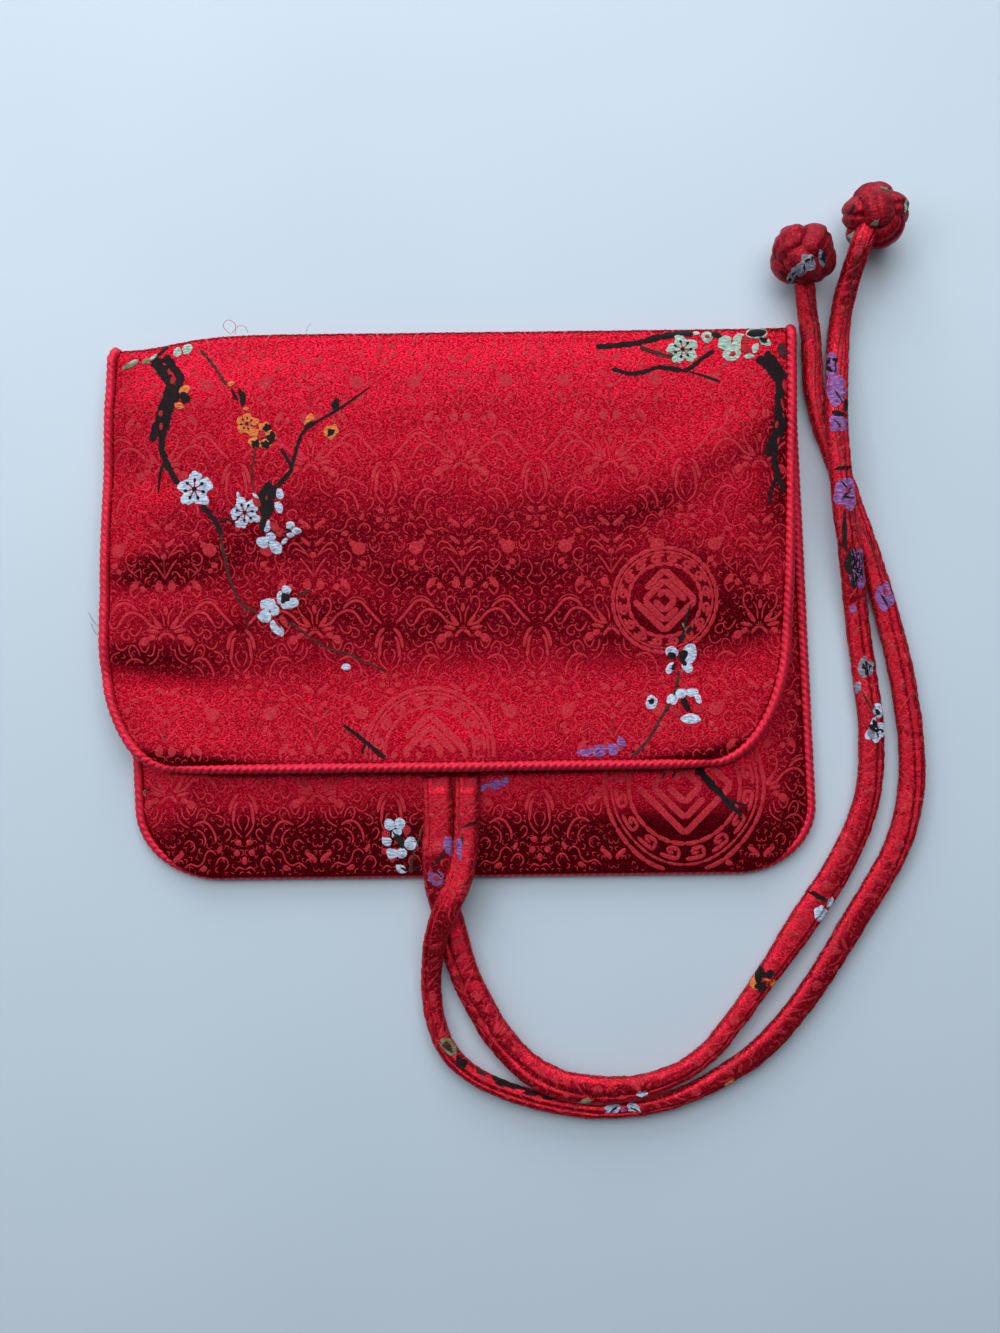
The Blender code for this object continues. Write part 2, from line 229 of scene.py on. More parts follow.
# satin or thread: a fine grain along the weave, woven lines across it, and a coloured gloss
def clothMaterial(name, look):
    material, tree, shader = nodesOf(name)
    fine = addNode(tree, "ShaderNodeTexNoise", Scale=1.0, Detail=3.0, Roughness=0.6)
    tree.links.new(flatPlace(tree, look["grain"]), fine.inputs["Vector"])
    fleck = addNode(tree, "ShaderNodeTexNoise", Scale=1.0, Detail=2.0, Roughness=0.55, Distortion=1.6)
    tree.links.new(flatPlace(tree, look.get("fleck", (90, 90, 1))), fleck.inputs["Vector"])
    grain = addNode(tree, "ShaderNodeMix", data_type="FLOAT")
    grain.inputs[0].default_value = look.get("fleckShare", 0.0)
    tree.links.new(fine.outputs["Fac"], grain.inputs[2])
    tree.links.new(fleck.outputs["Fac"], grain.inputs[3])
    grain = grain.outputs[0]
    colour = ramp(tree, grain, look["colours"])
    tree.links.new(colour, shader.inputs["Base Color"])
    tree.links.new(spread(tree, grain, *look["rough"]), shader.inputs["Roughness"])
    weave = addNode(tree, "ShaderNodeTexWave", bands_direction="Y", Scale=1.0, Distortion=look.get("wobble", 1.5))
    weave.inputs["Detail"].default_value = 1.0
    tree.links.new(flatPlace(tree, look["weave"]), weave.inputs["Vector"])
    both = addNode(tree, "ShaderNodeMath", operation="MULTIPLY_ADD")
    tree.links.new(weave.outputs["Fac"], both.inputs[0])
    both.inputs[1].default_value = look.get("weaveShare", 0.5)
    tree.links.new(grain, both.inputs[2])
    bump = addNode(tree, "ShaderNodeBump", Strength=look["bump"], Distance=look.get("depth", 0.0001))
    tree.links.new(both.outputs[0], bump.inputs["Height"])
    tree.links.new(bump.outputs["Normal"], shader.inputs["Normal"])
    shader.inputs["Metallic"].default_value = look["metal"]
    shader.inputs["Sheen Weight"].default_value = look.get("sheen", 0.0)
    shader.inputs["Sheen Roughness"].default_value = sheenRough
    shader.inputs["Sheen Tint"].default_value = (*sheenTint, 1)
    shader.inputs["Anisotropic"].default_value = look.get("stretch", 0.0)
    shader.inputs["Specular IOR Level"].default_value = look.get("shine", 0.5)
    shader.inputs["Specular Tint"].default_value = (*look.get("glossTint", (1, 1, 1)), 1)
    return material


redGloss = (1.0, 0.30, 0.38)
sheenTint = (1.0, 0.5, 0.55)
sheenRough = 0.4
finishes = {
    "ground": clothMaterial("redSatinGround", {
        "grain": (150, 290, 1), "fleck": (105, 125, 1), "fleckShare": 0.34, "weave": (60, 260, 1), "weaveShare": 0.2,
        "bump": 0.31, "depth": 0.00016, "glossTint": redGloss, "shine": 0.3,
        "colours": ((0.38, (0.07, 0.000, 0.001)), (0.50, (0.24, 0.0015, 0.008)), (0.62, (0.66, 0.015, 0.048))),
        "rough": (0.14, 0.27), "metal": 0.90, "stretch": 0.2}),
    "figure": clothMaterial("redDamaskFigure", {
        "grain": (150, 420, 1), "fleck": (110, 160, 1), "fleckShare": 0.4, "weave": (40, 330, 1), "weaveShare": 0.5,
        "bump": 0.6, "glossTint": redGloss, "shine": 0.5,
        "colours": ((0.36, (0.24, 0.004, 0.009)), (0.52, (0.50, 0.020, 0.034)), (0.66, (0.86, 0.08, 0.11))),
        "rough": (0.34, 0.50), "metal": 0.30}),
    "cord": clothMaterial("twistedSatinCord", {
        "grain": (60, 700, 1), "fleck": (60, 300, 1), "fleckShare": 0.3, "weave": (40, 500, 1), "weaveShare": 0.4,
        "bump": 0.45, "glossTint": (1.0, 0.55, 0.62),
        "colours": ((0.34, (0.38, 0.005, 0.022)), (0.52, (0.70, 0.012, 0.044)), (0.70, (0.92, 0.05, 0.11))),
        "rough": (0.25, 0.40), "metal": 0.44, "sheen": 0.10}),
    "tie": clothMaterial("tieBrocade", {
        "grain": (130, 240, 1), "fleck": (80, 90, 1), "fleckShare": 0.45, "weave": (60, 260, 1), "weaveShare": 0.25,
        "bump": 0.36, "depth": 0.00018, "glossTint": redGloss, "shine": 0.5,
        "colours": ((0.36, (0.13, 0.000, 0.004)), (0.50, (0.43, 0.006, 0.019)), (0.64, (0.82, 0.024, 0.055))),
        "rough": (0.17, 0.32), "metal": 0.72, "sheen": 0.06}),
    "knot": clothMaterial("knotBrocade", {
        "grain": (120, 260, 1), "fleck": (90, 100, 1), "fleckShare": 0.4, "weave": (60, 260, 1), "weaveShare": 0.3,
        "bump": 0.5, "depth": 0.00018, "glossTint": redGloss, "shine": 0.5,
        "colours": ((0.36, (0.08, 0.000, 0.003)), (0.50, (0.24, 0.002, 0.010)), (0.64, (0.52, 0.018, 0.040))),
        "rough": (0.28, 0.46), "metal": 0.45, "sheen": 0.06}),
    "lining": clothMaterial("plainRedLining", {
        "grain": (250, 250, 1), "weave": (200, 400, 1), "weaveShare": 0.5, "bump": 0.15, "glossTint": redGloss,
        "colours": ((0.3, (0.26, 0.006, 0.014)), (0.6, (0.36, 0.010, 0.024)), (0.8, (0.42, 0.015, 0.035))),
        "rough": (0.35, 0.45), "metal": 0.3}),
}


def threadMaterial(name, dark, mid, light, rough=(0.45, 0.6), metal=0.0, shine=0.5):
    return clothMaterial(name, {
        "grain": (55, 260, 1), "fleck": (160, 120, 1), "fleckShare": 0.25, "weave": (12, 230, 1), "weaveShare": 0.7,
        "bump": 0.7, "depth": 0.00014,
        "colours": ((0.38, dark), (0.5, mid), (0.62, light)), "rough": rough, "metal": metal,
        "wobble": 2.5, "shine": shine})


threads = {
    "black": threadMaterial("blackThread", (0.002, 0.001, 0.001), (0.005, 0.003, 0.004), (0.030, 0.007, 0.009),
                            shine=0.2),
    "white": threadMaterial("paleBlueThread", (0.16, 0.14, 0.28), (0.52, 0.64, 0.84), (0.84, 0.93, 1.0)),
    "orange": threadMaterial("orangeThread", (0.42, 0.05, 0.010), (0.74, 0.17, 0.02), (0.88, 0.34, 0.08)),
    "purple": threadMaterial("purpleThread", (0.08, 0.01, 0.12), (0.25, 0.075, 0.32), (0.46, 0.23, 0.55)),
    "mint": threadMaterial("mintThread", (0.14, 0.20, 0.15), (0.34, 0.50, 0.42), (0.62, 0.80, 0.70)),
    "grey": threadMaterial("greyThread", (0.07, 0.06, 0.09), (0.20, 0.21, 0.28), (0.40, 0.42, 0.52)),
    "olive": threadMaterial("oliveThread", (0.08, 0.06, 0.025), (0.20, 0.18, 0.09), (0.36, 0.34, 0.20)),
    "red": threadMaterial("redThread", (0.26, 0.002, 0.006), (0.46, 0.008, 0.018), (0.66, 0.02, 0.04), metal=0.3),
    "brown": threadMaterial("brownThread", (0.012, 0.004, 0.003), (0.045, 0.014, 0.010), (0.13, 0.04, 0.03),
                            shine=0.25),
}
threadOrder = list(threads)
threadList = [threads[k] for k in threadOrder]
print("materials made")

# the shape of the bag, in metres, from the modelled panels
bag = {
    "bodyWidth": 0.1962, "bodyDrop": 0.1588, "bodyLean": 0.036, "bodyCorner": (0.022, 0.018),
    "flapWidth": 0.1966, "flapDrop": 0.1268, "flapLean": -0.034, "flapCorner": (0.020, 0.036),
    "flapBow": 0.0008, "foldX": -0.0006, "foldRadius": 0.0029, "foldSag": 0.0045, "sagReach": 0.020,
    "foldRoll": 0.0008, "thick": 0.0010, "lining": 0.0005, "cord": 0.0033,
    "seamReach": 0.0006,      # the cloth runs on into its seam
    "crownDrop": 0.045, "crownReach": 0.026, "crownRise": 0.0020,
    "lowDrop": 0.065, "lowReach": 0.018, "lowRise": 0.0017,     # a second soft rise lower on the pocket
    "mouthDrop": 0.019, "pocketBase": 0.0024, "pocketFull": 0.0017, "pocketRound": 0.017,
    "rimHeight": 0.0069, "rimRound": 0.009, "overTies": 0.0011,
}
foldY = (bag["bodyDrop"] + bag["cord"] / 2 + bag["foldRoll"]) / 2
foldCentreY = foldY - bag["thick"] / 2 - bag["foldRadius"]
bodyEdgeY = foldY - bag["bodyDrop"]
flapEdgeY = foldY - bag["flapDrop"]
mouthY = foldY - bag["mouthDrop"]
arcHalf = math.pi * bag["foldRadius"] / 2

# soft folds pressed into the flap: view place, reach along and across, turn in degrees, height
flapFolds = (
    (150, 402, 0.030, 0.0065, 4, 0.0006), (140, 478, 0.024, 0.0080, -6, -0.0015),
    (130, 556, 0.020, 0.0050, 8, 0.0006), (128, 592, 0.022, 0.0045, 5, -0.0004),
    (150, 643, 0.026, 0.0060, -4, 0.0001), (140, 678, 0.026, 0.0050, -8, -0.0014),
    (150, 758, 0.036, 0.0080, -5, 0.0014), (450, 650, 0.075, 0.0120, 1, -0.0006),
    (470, 735, 0.090, 0.0090, 0, 0.0005), (700, 492, 0.030, 0.0070, 32, -0.0005),
    (735, 438, 0.035, 0.0080, 30, 0.0007), (748, 642, 0.028, 0.0085, 10, -0.0009),
    (745, 565, 0.026, 0.0140, 6, 0.0009), (755, 752, 0.026, 0.0070, 8, 0.0008),
    (250, 560, 0.040, 0.0110, 8, -0.0005), (300, 420, 0.050, 0.0120, 3, 0.0004),
    (590, 390, 0.060, 0.0110, -3, 0.0004), (240, 655, 0.030, 0.0050, -3, 0.0002),
)
foldPlaces = []
for px, py, along, across, turn, height in flapFolds:
    a = math.radians(turn)
    foldPlaces.append((*fromAbove(px, py, readHeight["flap"]), along, across, math.cos(a), math.sin(a), height))


# what the pressed folds add to the flap's height
def flapRelief(x, y):
    total = 0.0
    for fx, fy, along, across, ca, sa, height in foldPlaces:
        dx, dy = x - fx, y - fy
        u = (dx * ca + dy * sa) / along
        v = (-dx * sa + dy * ca) / across
        d = u * u + v * v
        if d < 9:
            total += height * math.exp(-d)
    return total


# half a panel's width at a height above its foot: full, bowed, or drawn in round the corner
def halfWidth(height, width, corner, bow=0.0, drop=1.0):
    across, along = corner
    half = width / 2 + bag["seamReach"]
    if bow:
        half += bow * math.sin(math.pi * min(max(height / drop, 0), 1))
    if height >= along:
        return half
    short = (along - max(height, 0)) / along
    return half - across * (1 - math.sqrt(max(1 - short * short, 0)))


def bodySide(y):
    half = halfWidth(y - bodyEdgeY + bag["seamReach"], bag["bodyWidth"], bag["bodyCorner"])
    return bag["foldX"] + bag["bodyLean"] * (foldY - y), half


def flapSide(y):
    half = halfWidth(y - flapEdgeY + bag["seamReach"], bag["flapWidth"], bag["flapCorner"], bag["flapBow"],
                     bag["flapDrop"])
    return bag["foldX"] + bag["flapLean"] * (foldY - y), half


# how far a place is from the body's seam
def seamDistance(x, y):
    middle, half = bodySide(y)
    across = max(half - abs(x - middle), 1e-6)
    along = max(y - bodyEdgeY + bag["seamReach"], 1e-6)
    return 1 / math.hypot(1 / across, 1 / along)


def backHeight(x, y):
    return bag["thick"] / 2 + 0.0006 * bell(seamDistance(x, y), 0.004)


# height of the flap's middle along y, in mm: it rises from the fold, dips, and rises to its edge
flapProfile = ((-56.0, 10.6), (-46.0, 9.0), (-38.0, 7.5), (-33.0, 6.85), (-26.0, 6.0), (-19.0, 5.4), (5.0, 7.35),
               (20.0, 9.4), (33.0, 10.8), (42.0, 10.7), (60.0, 9.1), (68.0, 8.1), (74.0, 6.9),
               (90.0, 2.6))


def readProfile(at):
    for (a, za), (b, zb) in zip(flapProfile, flapProfile[1:]):
        if at <= b:
            return za + (zb - za) * min(max((at - a) / (b - a), 0), 1)
    return flapProfile[-1][1]


# the profile read once into a table, all in mm, each place smoothed over its neighbours
profileTable = {"start": -50, "step": 0.25, "count": 580, "smooth": 5}


def smoothProfile(at):
    reach = profileTable["smooth"]
    return sum(readProfile(at + k) * (reach + 1 - abs(k)) for k in range(-reach, reach + 1)) / (reach + 1) ** 2


flapTable = [smoothProfile(profileTable["start"] + i * profileTable["step"]) for i in range(profileTable["count"])]


def alongFlap(y):
    place = min(max((y * 1000 - profileTable["start"]) / profileTable["step"], 0), profileTable["count"] - 2)
    i = int(place)
    return (flapTable[i] + (flapTable[i + 1] - flapTable[i]) * (place - i)) / 1000


def pocketRise(y):
    crown = bag["crownRise"] * bell(y - foldY + bag["crownDrop"], bag["crownReach"])
    return bag["pocketFull"] + crown + bag["lowRise"] * bell(y + bag["lowDrop"], bag["lowReach"])


def pocketHeight(x, y):
    near = min(seamDistance(x, y) / bag["pocketRound"], 1)
    lift = pocketRise(y) * (1 - (1 - near) ** 2.2)
    ripple = 0.00025 * noise.noise(Vector((x * 45, y * 80, 3.1)))
    lift += 0.0007 * bell(y - bodyEdgeY, 0.005)                 # the foot bulges over its cord
    return bag["pocketBase"] + lift + ripple * ease(0.0, 0.012, seamDistance(x, y))


def flapHeight(x, y):
    middle, half = flapSide(y)
    across = max(half - abs(x - middle), 0)
    rim = bag["rimHeight"]
    height = rim + (alongFlap(y) - rim) * (1 - math.exp(-across / bag["rimRound"]))
    height += bag["overTies"] * bell(x + 0.002, 0.013) * bell(y - flapEdgeY, 0.010)
    low = ease(0.0, 0.008, y - flapEdgeY + 0.004)
    relief = flapRelief(x, y) * ease(-0.002, 0.010, foldCentreY - y) * low
    relief += 0.00022 * noise.noise(Vector((x * 60, y * 110, 0.7))) * low
    return height + relief


# the left end of the fold sags back a little
def sagBack(x, y):
    left = bag["foldX"] - bag["bodyWidth"] / 2
    return y - bag["foldSag"] * bell(x - left, bag["sagReach"]) * bell(foldY - y, bag["sagReach"])


# a point of the long panel's middle: x across, t along the cloth from the fold line, + on the flap
def longPanel(x, t):
    if t >= arcHalf:
        y = foldCentreY - (t - arcHalf)
        return Vector((x, sagBack(x, y), flapHeight(x, y)))
    if t <= -arcHalf:
        y = foldCentreY + (t + arcHalf)
        return Vector((x, sagBack(x, y), backHeight(x, y)))
    turn = math.pi * (t + arcHalf) / (2 * arcHalf)
    low, high = backHeight(x, foldCentreY), flapHeight(x, foldCentreY)
    y = foldCentreY + bag["foldRadius"] * math.sin(turn)
    return Vector((x, sagBack(x, y), (low + high) / 2 - (high - low) / 2 * math.cos(turn)))


# the pocket's foot reaches out over the inner half of its cord
def pocketPanel(x, t):
    y = foldCentreY - (t - arcHalf)
    return Vector((x, y - 0.0018 * bell(y - bodyEdgeY, 0.006), pocketHeight(x, y)))


# the way a panel faces at a place
def faceOf(panel, x, t):
    step = 0.0004
    across = panel(x + step, t) - panel(x - step, t)
    along = panel(x, t + step) - panel(x, t - step)
    return along.cross(across).normalized()


def insideLong(x, t):
    if t > arcHalf:
        y = foldCentreY - (t - arcHalf)
        middle, half = flapSide(y)
        return y > flapEdgeY and abs(x - middle) < half
    y = foldCentreY + min(t + arcHalf, 0)
    middle, half = bodySide(y)
    return y > bodyEdgeY and abs(x - middle) < half


def insidePocket(x, t):
    y = foldCentreY - (t - arcHalf)
    middle, half = bodySide(y)
    return bodyEdgeY < y < mouthY and abs(x - middle) < half


# a place on the outer face of a panel, a little above it, or None past its edge
def placer(panel, inside):
    def place(x, t, lift):
        if not inside(x, t):
            return None
        face = faceOf(panel, x, t)
        return panel(x, t) + face * (bag["thick"] / 2 + lift)
    return place


onLong = placer(longPanel, insideLong)
onPocket = placer(pocketPanel, insidePocket)

# the ties: two limp tubes that lie loose, with a knot at the end of each; their ways in mm
leftRoute = (
    (-6.9, -44.0, 6.6), (-6.8, -48.5, 6.7), (-6.7, -53.0, 8.2), (-6.4, -59.4, 8.9), (-6.5, -66.1, 8.8),
    (-6.8, -72.6, 8.6), (-6.8, -78.7, 7.6), (-6.2, -84.7, 5.2), (-4.9, -90.6, 3.4), (-2.7, -98.7, 3.1),
    (-0.7, -106.8, 3.1), (2.2, -114.3, 3.1), (6.0, -121.8, 3.1), (10.3, -129.0, 3.1), (15.6, -135.2, 3.2),
    (22.1, -140.3, 4.4), (30.3, -143.5, 5.8), (40.3, -144.7, 6.4), (50.3, -144.2, 6.3), (59.4, -142.0, 5.2),
    (67.3, -138.7, 3.8), (74.0, -133.6, 3.1), (81.0, -125.3, 3.1), (88.6, -115.0, 3.1), (96.1, -104.4, 3.1),
    (104.0, -92.9, 3.1), (111.6, -81.6, 3.1), (117.4, -70.4, 3.1), (121.1, -60.0, 3.1), (122.7, -48.7, 3.1),
    (122.6, -36.2, 3.1), (121.2, -24.3, 3.1), (119.6, -12.3, 3.1), (118.3, -1.9, 4.0), (117.0, 6.9, 6.0),
    (115.7, 15.6, 8.2), (114.3, 24.3, 9.4), (113.2, 34.5, 9.6), (112.5, 43.4, 9.6), (112.1, 52.3, 9.2),
    (112.7, 61.6, 7.2), (113.6, 71.0, 4.6), (114.4, 79.2, 3.3), (115.4, 87.4, 4.9), (117.0, 95.4, 8.6),
    (118.9, 102.6, 12.8), (121.4, 108.0, 13.6))
rightRoute = (
    (2.3, -44.0, 6.6), (2.3, -48.5, 6.7), (2.2, -53.0, 8.2), (2.1, -59.5, 8.9), (1.8, -66.2, 8.9),
    (1.4, -72.6, 9.2), (0.5, -77.8, 9.8), (-1.1, -83.0, 10.4), (-3.4, -87.9, 10.6), (-5.9, -93.3, 9.9),
    (-7.9, -99.9, 7.4), (-9.0, -107.3, 4.4), (-9.4, -115.0, 3.1), (-8.4, -123.1, 3.1), (-6.1, -130.5, 3.1),
    (-2.0, -136.5, 3.1), (4.2, -141.4, 3.1), (11.9, -145.1, 3.1), (21.1, -148.2, 3.1), (30.9, -150.4, 3.1),
    (40.4, -151.4, 3.1), (50.6, -150.9, 3.1), (60.1, -149.2, 3.1), (69.4, -145.8, 3.1), (78.7, -140.8, 3.1),
    (87.4, -135.0, 3.1), (95.6, -127.0, 3.1), (103.1, -117.6, 3.1), (110.1, -107.2, 3.1), (116.5, -96.9, 3.1),
    (122.9, -86.8, 3.1), (128.6, -77.1, 3.1), (132.6, -66.7, 3.1), (134.6, -55.7, 3.1), (134.7, -43.8, 3.1),
    (133.4, -31.9, 3.1), (131.1, -18.4, 3.1), (128.0, -5.6, 3.1), (124.9, 6.1, 3.1), (121.4, 17.4, 3.1),
    (118.0, 27.3, 3.1), (115.1, 36.0, 3.1), (111.9, 44.4, 3.1), (108.9, 53.3, 3.1), (106.8, 62.3, 3.1),
    (106.4, 70.6, 3.1), (105.9, 78.3, 3.7), (104.9, 84.3, 5.0), (103.9, 90.4, 6.6), (103.1, 97.0, 8.4))
ties = {
    # sizes: share of the way along, width and thickness in mm
    "left": {
        "route": leftRoute, "lean": 0.15, "seed": 11, "exit": (-0.0068, -0.0465, 0.0067),
        "sizes": ((0, 8.4, 1.9), (0.012, 8.5, 2.0), (0.03, 8.6, 3.8), (0.10, 8.8, 4.6), (0.19, 8.8, 4.6),
                  (0.28, 8.8, 4.6), (0.36, 6.0, 5.0), (0.43, 6.2, 5.0), (0.50, 8.6, 4.6), (0.62, 7.6, 4.8),
                  (0.75, 7.0, 4.8), (0.86, 6.6, 5.0), (1.0, 6.2, 5.6)),
    },
    "right": {
        "route": rightRoute, "lean": -0.2, "seed": 23, "exit": (0.0023, -0.0465, 0.0067),
        "sizes": ((0, 7.2, 1.9), (0.012, 7.2, 2.0), (0.03, 7.3, 3.8), (0.10, 7.6, 4.6), (0.16, 6.0, 5.0),
                  (0.24, 5.4, 5.0), (0.36, 5.2, 5.0), (0.46, 7.2, 4.8), (0.60, 7.8, 4.6), (0.72, 7.6, 4.6),
                  (0.84, 6.4, 5.0), (1.0, 5.8, 5.4)),
    },
}
tieCloth = {
    "sides": 54, "radius": 0.0031, "step": 0.0008, "squareness": 0.86,
    "crinkle": 0.00022, "fineCrinkle": 0.00010, "crossFold": 0.00045, "seamDeep": 0.00075, "seamRidge": 0.00020,
    "reachRound": 0.0088, "skinRadius": 0.0033,     # how far round a figure may lie, and on what radius
}


# width and thickness at a share of the way, eased from one given size to the next
def readSizes(sizes, share):
    for (a, wa, ta), (b, wb, tb) in zip(sizes, sizes[1:]):
        if share <= b:
            k = (share - a) / (b - a)
            k = k * k * (3 - 2 * k)
            return (wa + (wb - wa) * k) / 1000, (ta + (tb - ta) * k) / 1000
    return sizes[-1][1] / 1000, sizes[-1][2] / 1000


# frames along a tie: middle, across, up, width, thickness, and the way gone
def tieFrames(tie):
    line = smoothLine([Vector(p) / 1000 for p in tie["route"]], tieCloth["step"])
    total = sum((b - a).length for a, b in zip(line, line[1:]))
    frames = []
    gone = 0.0
    for i, point in enumerate(line):
        if i:
            gone += (point - line[i - 1]).length
        along = wayAt(line, i)
        roll = tie["lean"] * noise.noise(Vector((gone * 18, tie["seed"], 0.3))) * 2.2
        up = Vector((0, 0, 1))
        across = along.cross(up).normalized()
        up = across.cross(along).normalized()
        across, up = across * math.cos(roll) + up * math.sin(roll), up * math.cos(roll) - across * math.sin(roll)
        wide, thick = readSizes(tie["sizes"], gone / total)
        above = point.z - tieCloth["radius"]         # how far the plain tube is above the table here
        middle = Vector((point.x, point.y, thick / 2 + 0.0001 + above * 0.98))
        frames.append((middle, across, up, wide, thick, gone))
    return frames, total


# the skin of a tie: a soft flat oval with a seam crease, small cross wrinkles and a few twists
def tieSkin(frames, tie, k, angle, lift=0.0):
    middle, across, up, wide, thick, gone = frames[k]
    c, s = math.cos(angle), math.sin(angle)
    power = tieCloth["squareness"]
    px = math.copysign(abs(c) ** power, c) * (wide / 2 + lift)
    pz = math.copysign(abs(s) ** power, s) * (thick / 2 + lift)
    seed = tie["seed"]
    q = angle * wide * 0.4
    crinkle = noise.noise(Vector((gone * 190, q * 160, seed))) * tieCloth["crinkle"]
    crinkle += noise.noise(Vector((gone * 430 + q * 120, q * 300, seed + 5))) * tieCloth["fineCrinkle"]
    cross = max(0.0, noise.noise(Vector((gone * 330 + c * 0.7, seed * 3.3, 1.7)))) * tieCloth["crossFold"]
    seam = math.radians(62 + 18 * math.sin(gone * 31 + seed))
    crease = tieCloth["seamDeep"] * bell(angle - seam, 0.13)
    crease -= tieCloth["seamRidge"] * bell(angle - seam - 0.28, 0.12)
    out = crinkle - cross * 0.6 - crease
    return middle + across * (px + out * c) + up * (pz + out * s)


def makeTie(name, tie):
    frames, total = tieFrames(tie)
    work = newWork()
    n = tieCloth["sides"]
    for k, frameAt in enumerate(frames):
        for j in range(n):
            angle = 2 * math.pi * j / n - math.pi
            work["points"].append(tuple(tieSkin(frames, tie, k, angle)))
            work["flat"].append((angle * tieCloth["radius"], frameAt[5]))
    joinRings(work, len(frames), n)
    work["faces"].append(tuple(range(n - 1, -1, -1)))
    last = (len(frames) - 1) * n
    work["faces"].append(tuple(range(last, last + n)))
    obj = finishWork(work, name, [finishes["tie"]])
    return obj, frames, total


# the button knots: the tie wound over and under itself into a tight ball
knots = {
    "radius": 0.0101, "wide": 0.0044, "deep": 0.0018, "weave": 0.0013, "latitude": math.radians(50),
    "leads": 3, "bights": 4, "lift": 0.0099, "steps": 340, "sides": 40, "hug": 0.0013,
    "wrinkle": 0.00026, "crossFold": 0.0004, "crease": 0.0008, "sideCrease": 0.0005,
    # where the ball lies, the way its tie comes in, and its turn about that way
    "left": {"at": (0.1238, 0.1115), "from": (-0.54, -0.64, 0.50), "spin": 0.35, "seed": 11},
    "right": {"at": (0.1026, 0.1009), "from": (0.05, -0.95, -0.25), "spin": 1.15, "seed": 23},
}


def makeKnot(name, own):
    centre = Vector((*own["at"], knots["lift"]))
    axis = Vector(own["from"]).normalized()
    spin, seed = own["spin"], own["seed"]
    tilt = Vector((0, 0, 1)).rotation_difference(axis).to_matrix()
    work = newWork()
    count, n = knots["steps"], knots["sides"]
    mid = knots["radius"] - knots["weave"] - knots["deep"]
    path = []
    for i in range(count):
        turn = 2 * math.pi * knots["leads"] * i / count
        phase = turn * knots["bights"] / knots["leads"]
        lat = knots["latitude"] * math.cos(phase)
        r = mid + knots["weave"] * math.tanh(2.2 * math.sin(2 * phase)) / math.tanh(2.2)
        a = turn + spin
        path.append(Vector((math.cos(lat) * math.cos(a), math.cos(lat) * math.sin(a), math.sin(lat))) * r)
    gone = 0.0
    for i, point in enumerate(path):
        ahead = wayAt(path, i, closed=True)
        side = ahead.cross(point).normalized()
        out = side.cross(ahead)
        gone += (point - path[i - 1]).length
        for j in range(n):
            angle = 2 * math.pi * j / n
            wide = knots["wide"] * (1 + 0.10 * noise.noise(Vector((gone * 160, seed, 0))))
            deep = knots["deep"]
            wrinkle = knots["wrinkle"] * noise.noise(Vector((gone * 200, angle * 1.3, seed)))
            wrinkle -= knots["crossFold"] * max(0, noise.noise(Vector((gone * 520 + math.cos(angle), seed, 4.0))))
            crease = knots["crease"] * bell((angle - 1.9 + math.pi) % (2 * math.pi) - math.pi, 0.16)
            crease += knots["sideCrease"] * bell((angle - 0.75 + math.pi) % (2 * math.pi) - math.pi, 0.13) \
                * max(0, noise.noise(Vector((gone * 130, seed, 8.0))) * 2)
            w = wrinkle - crease
            spot = point + side * math.cos(angle) * (wide + w) + out * math.sin(angle) * (deep + w)
            spot -= out * knots["hug"] * math.cos(angle) ** 2          # the strand hugs the ball
            work["points"].append(tuple(centre + tilt @ spot))
            work["flat"].append((angle * 0.0028, gone))
    joinRings(work, count, n, closed=True, turned=True)
    return finishWork(work, name, [finishes["knot"]])


tieParts = {}
for side in ("left", "right"):
    tie = ties[side]
    piece, frames, total = makeTie(side + "TieTube", tie)
    knot = makeKnot(side + "TieKnot", knots[side])
    tieParts[side] = {"tube": piece, "knot": knot, "frames": frames, "length": total}
    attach(piece, "root")
    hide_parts(side + "_tie")
    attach(knot, "root")
    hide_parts(side + "_tie_knot")
    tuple(tie["exit"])
    [tuple(f[0]) for f in frames]
print("ties and knots made")

# the cloth panels: how finely each is laid out, and how far the linings lie in from the edge and under
cloth = {
    "columns": 130, "step": 0.0013, "arcRows": 14, "liningColumns": 50, "liningStep": 0.004,
    "liningUnder": 0.00105, "liningInset": 0.0030, "pocketLiningInset": 0.0075, "mouthHem": 0.002,
}


# places across a panel from -1 to 1, closer together at the edges
def acrossPlaces(count):
    out = []
    for i in range(count + 1):
        t = 2 * i / count - 1
        out.append(1.25 * t - 0.25 * t ** 3)
    return out


# places up a panel, closer together round its corners
def stepsUp(corner, low, high, step):
    out = [low + corner * (1 - math.cos(math.pi / 2 * i / 12)) for i in range(12)]
    count = max(2, round((high - low - corner) / step))
    return out + [low + corner + (high - low - corner) * i / count for i in range(count + 1)]


def longRows(inset, offset, step, count):
    rows, flats = [], []
    spots = acrossPlaces(count)
    grow = bag["seamReach"]

    def addRow(t, y, side):
        middle, half = side(y)
        half -= inset
        xs = [middle + u * half for u in spots]
        rows.append([longPanel(x, t) for x in xs])
        flats.append([(x, t) for x in xs])

    low = bodyEdgeY - grow + inset
    for y in stepsUp(bag["bodyCorner"][1], low, foldCentreY, step * 2):
        addRow(y - foldCentreY - arcHalf, y, bodySide)
    for i in range(1, cloth["arcRows"]):
        t = -arcHalf + 2 * arcHalf * i / cloth["arcRows"]
        addRow(t, foldCentreY, bodySide)
    low = flapEdgeY - grow + inset
    for y in reversed(stepsUp(bag["flapCorner"][1], low, foldCentreY, step)):
        addRow(arcHalf + foldCentreY - y, y, flapSide)
    if offset:
        for row, flat in zip(rows, flats):
            for i, (x, t) in enumerate(flat):
                row[i] = row[i] - faceOf(longPanel, x, t) * offset
    return rows, flats


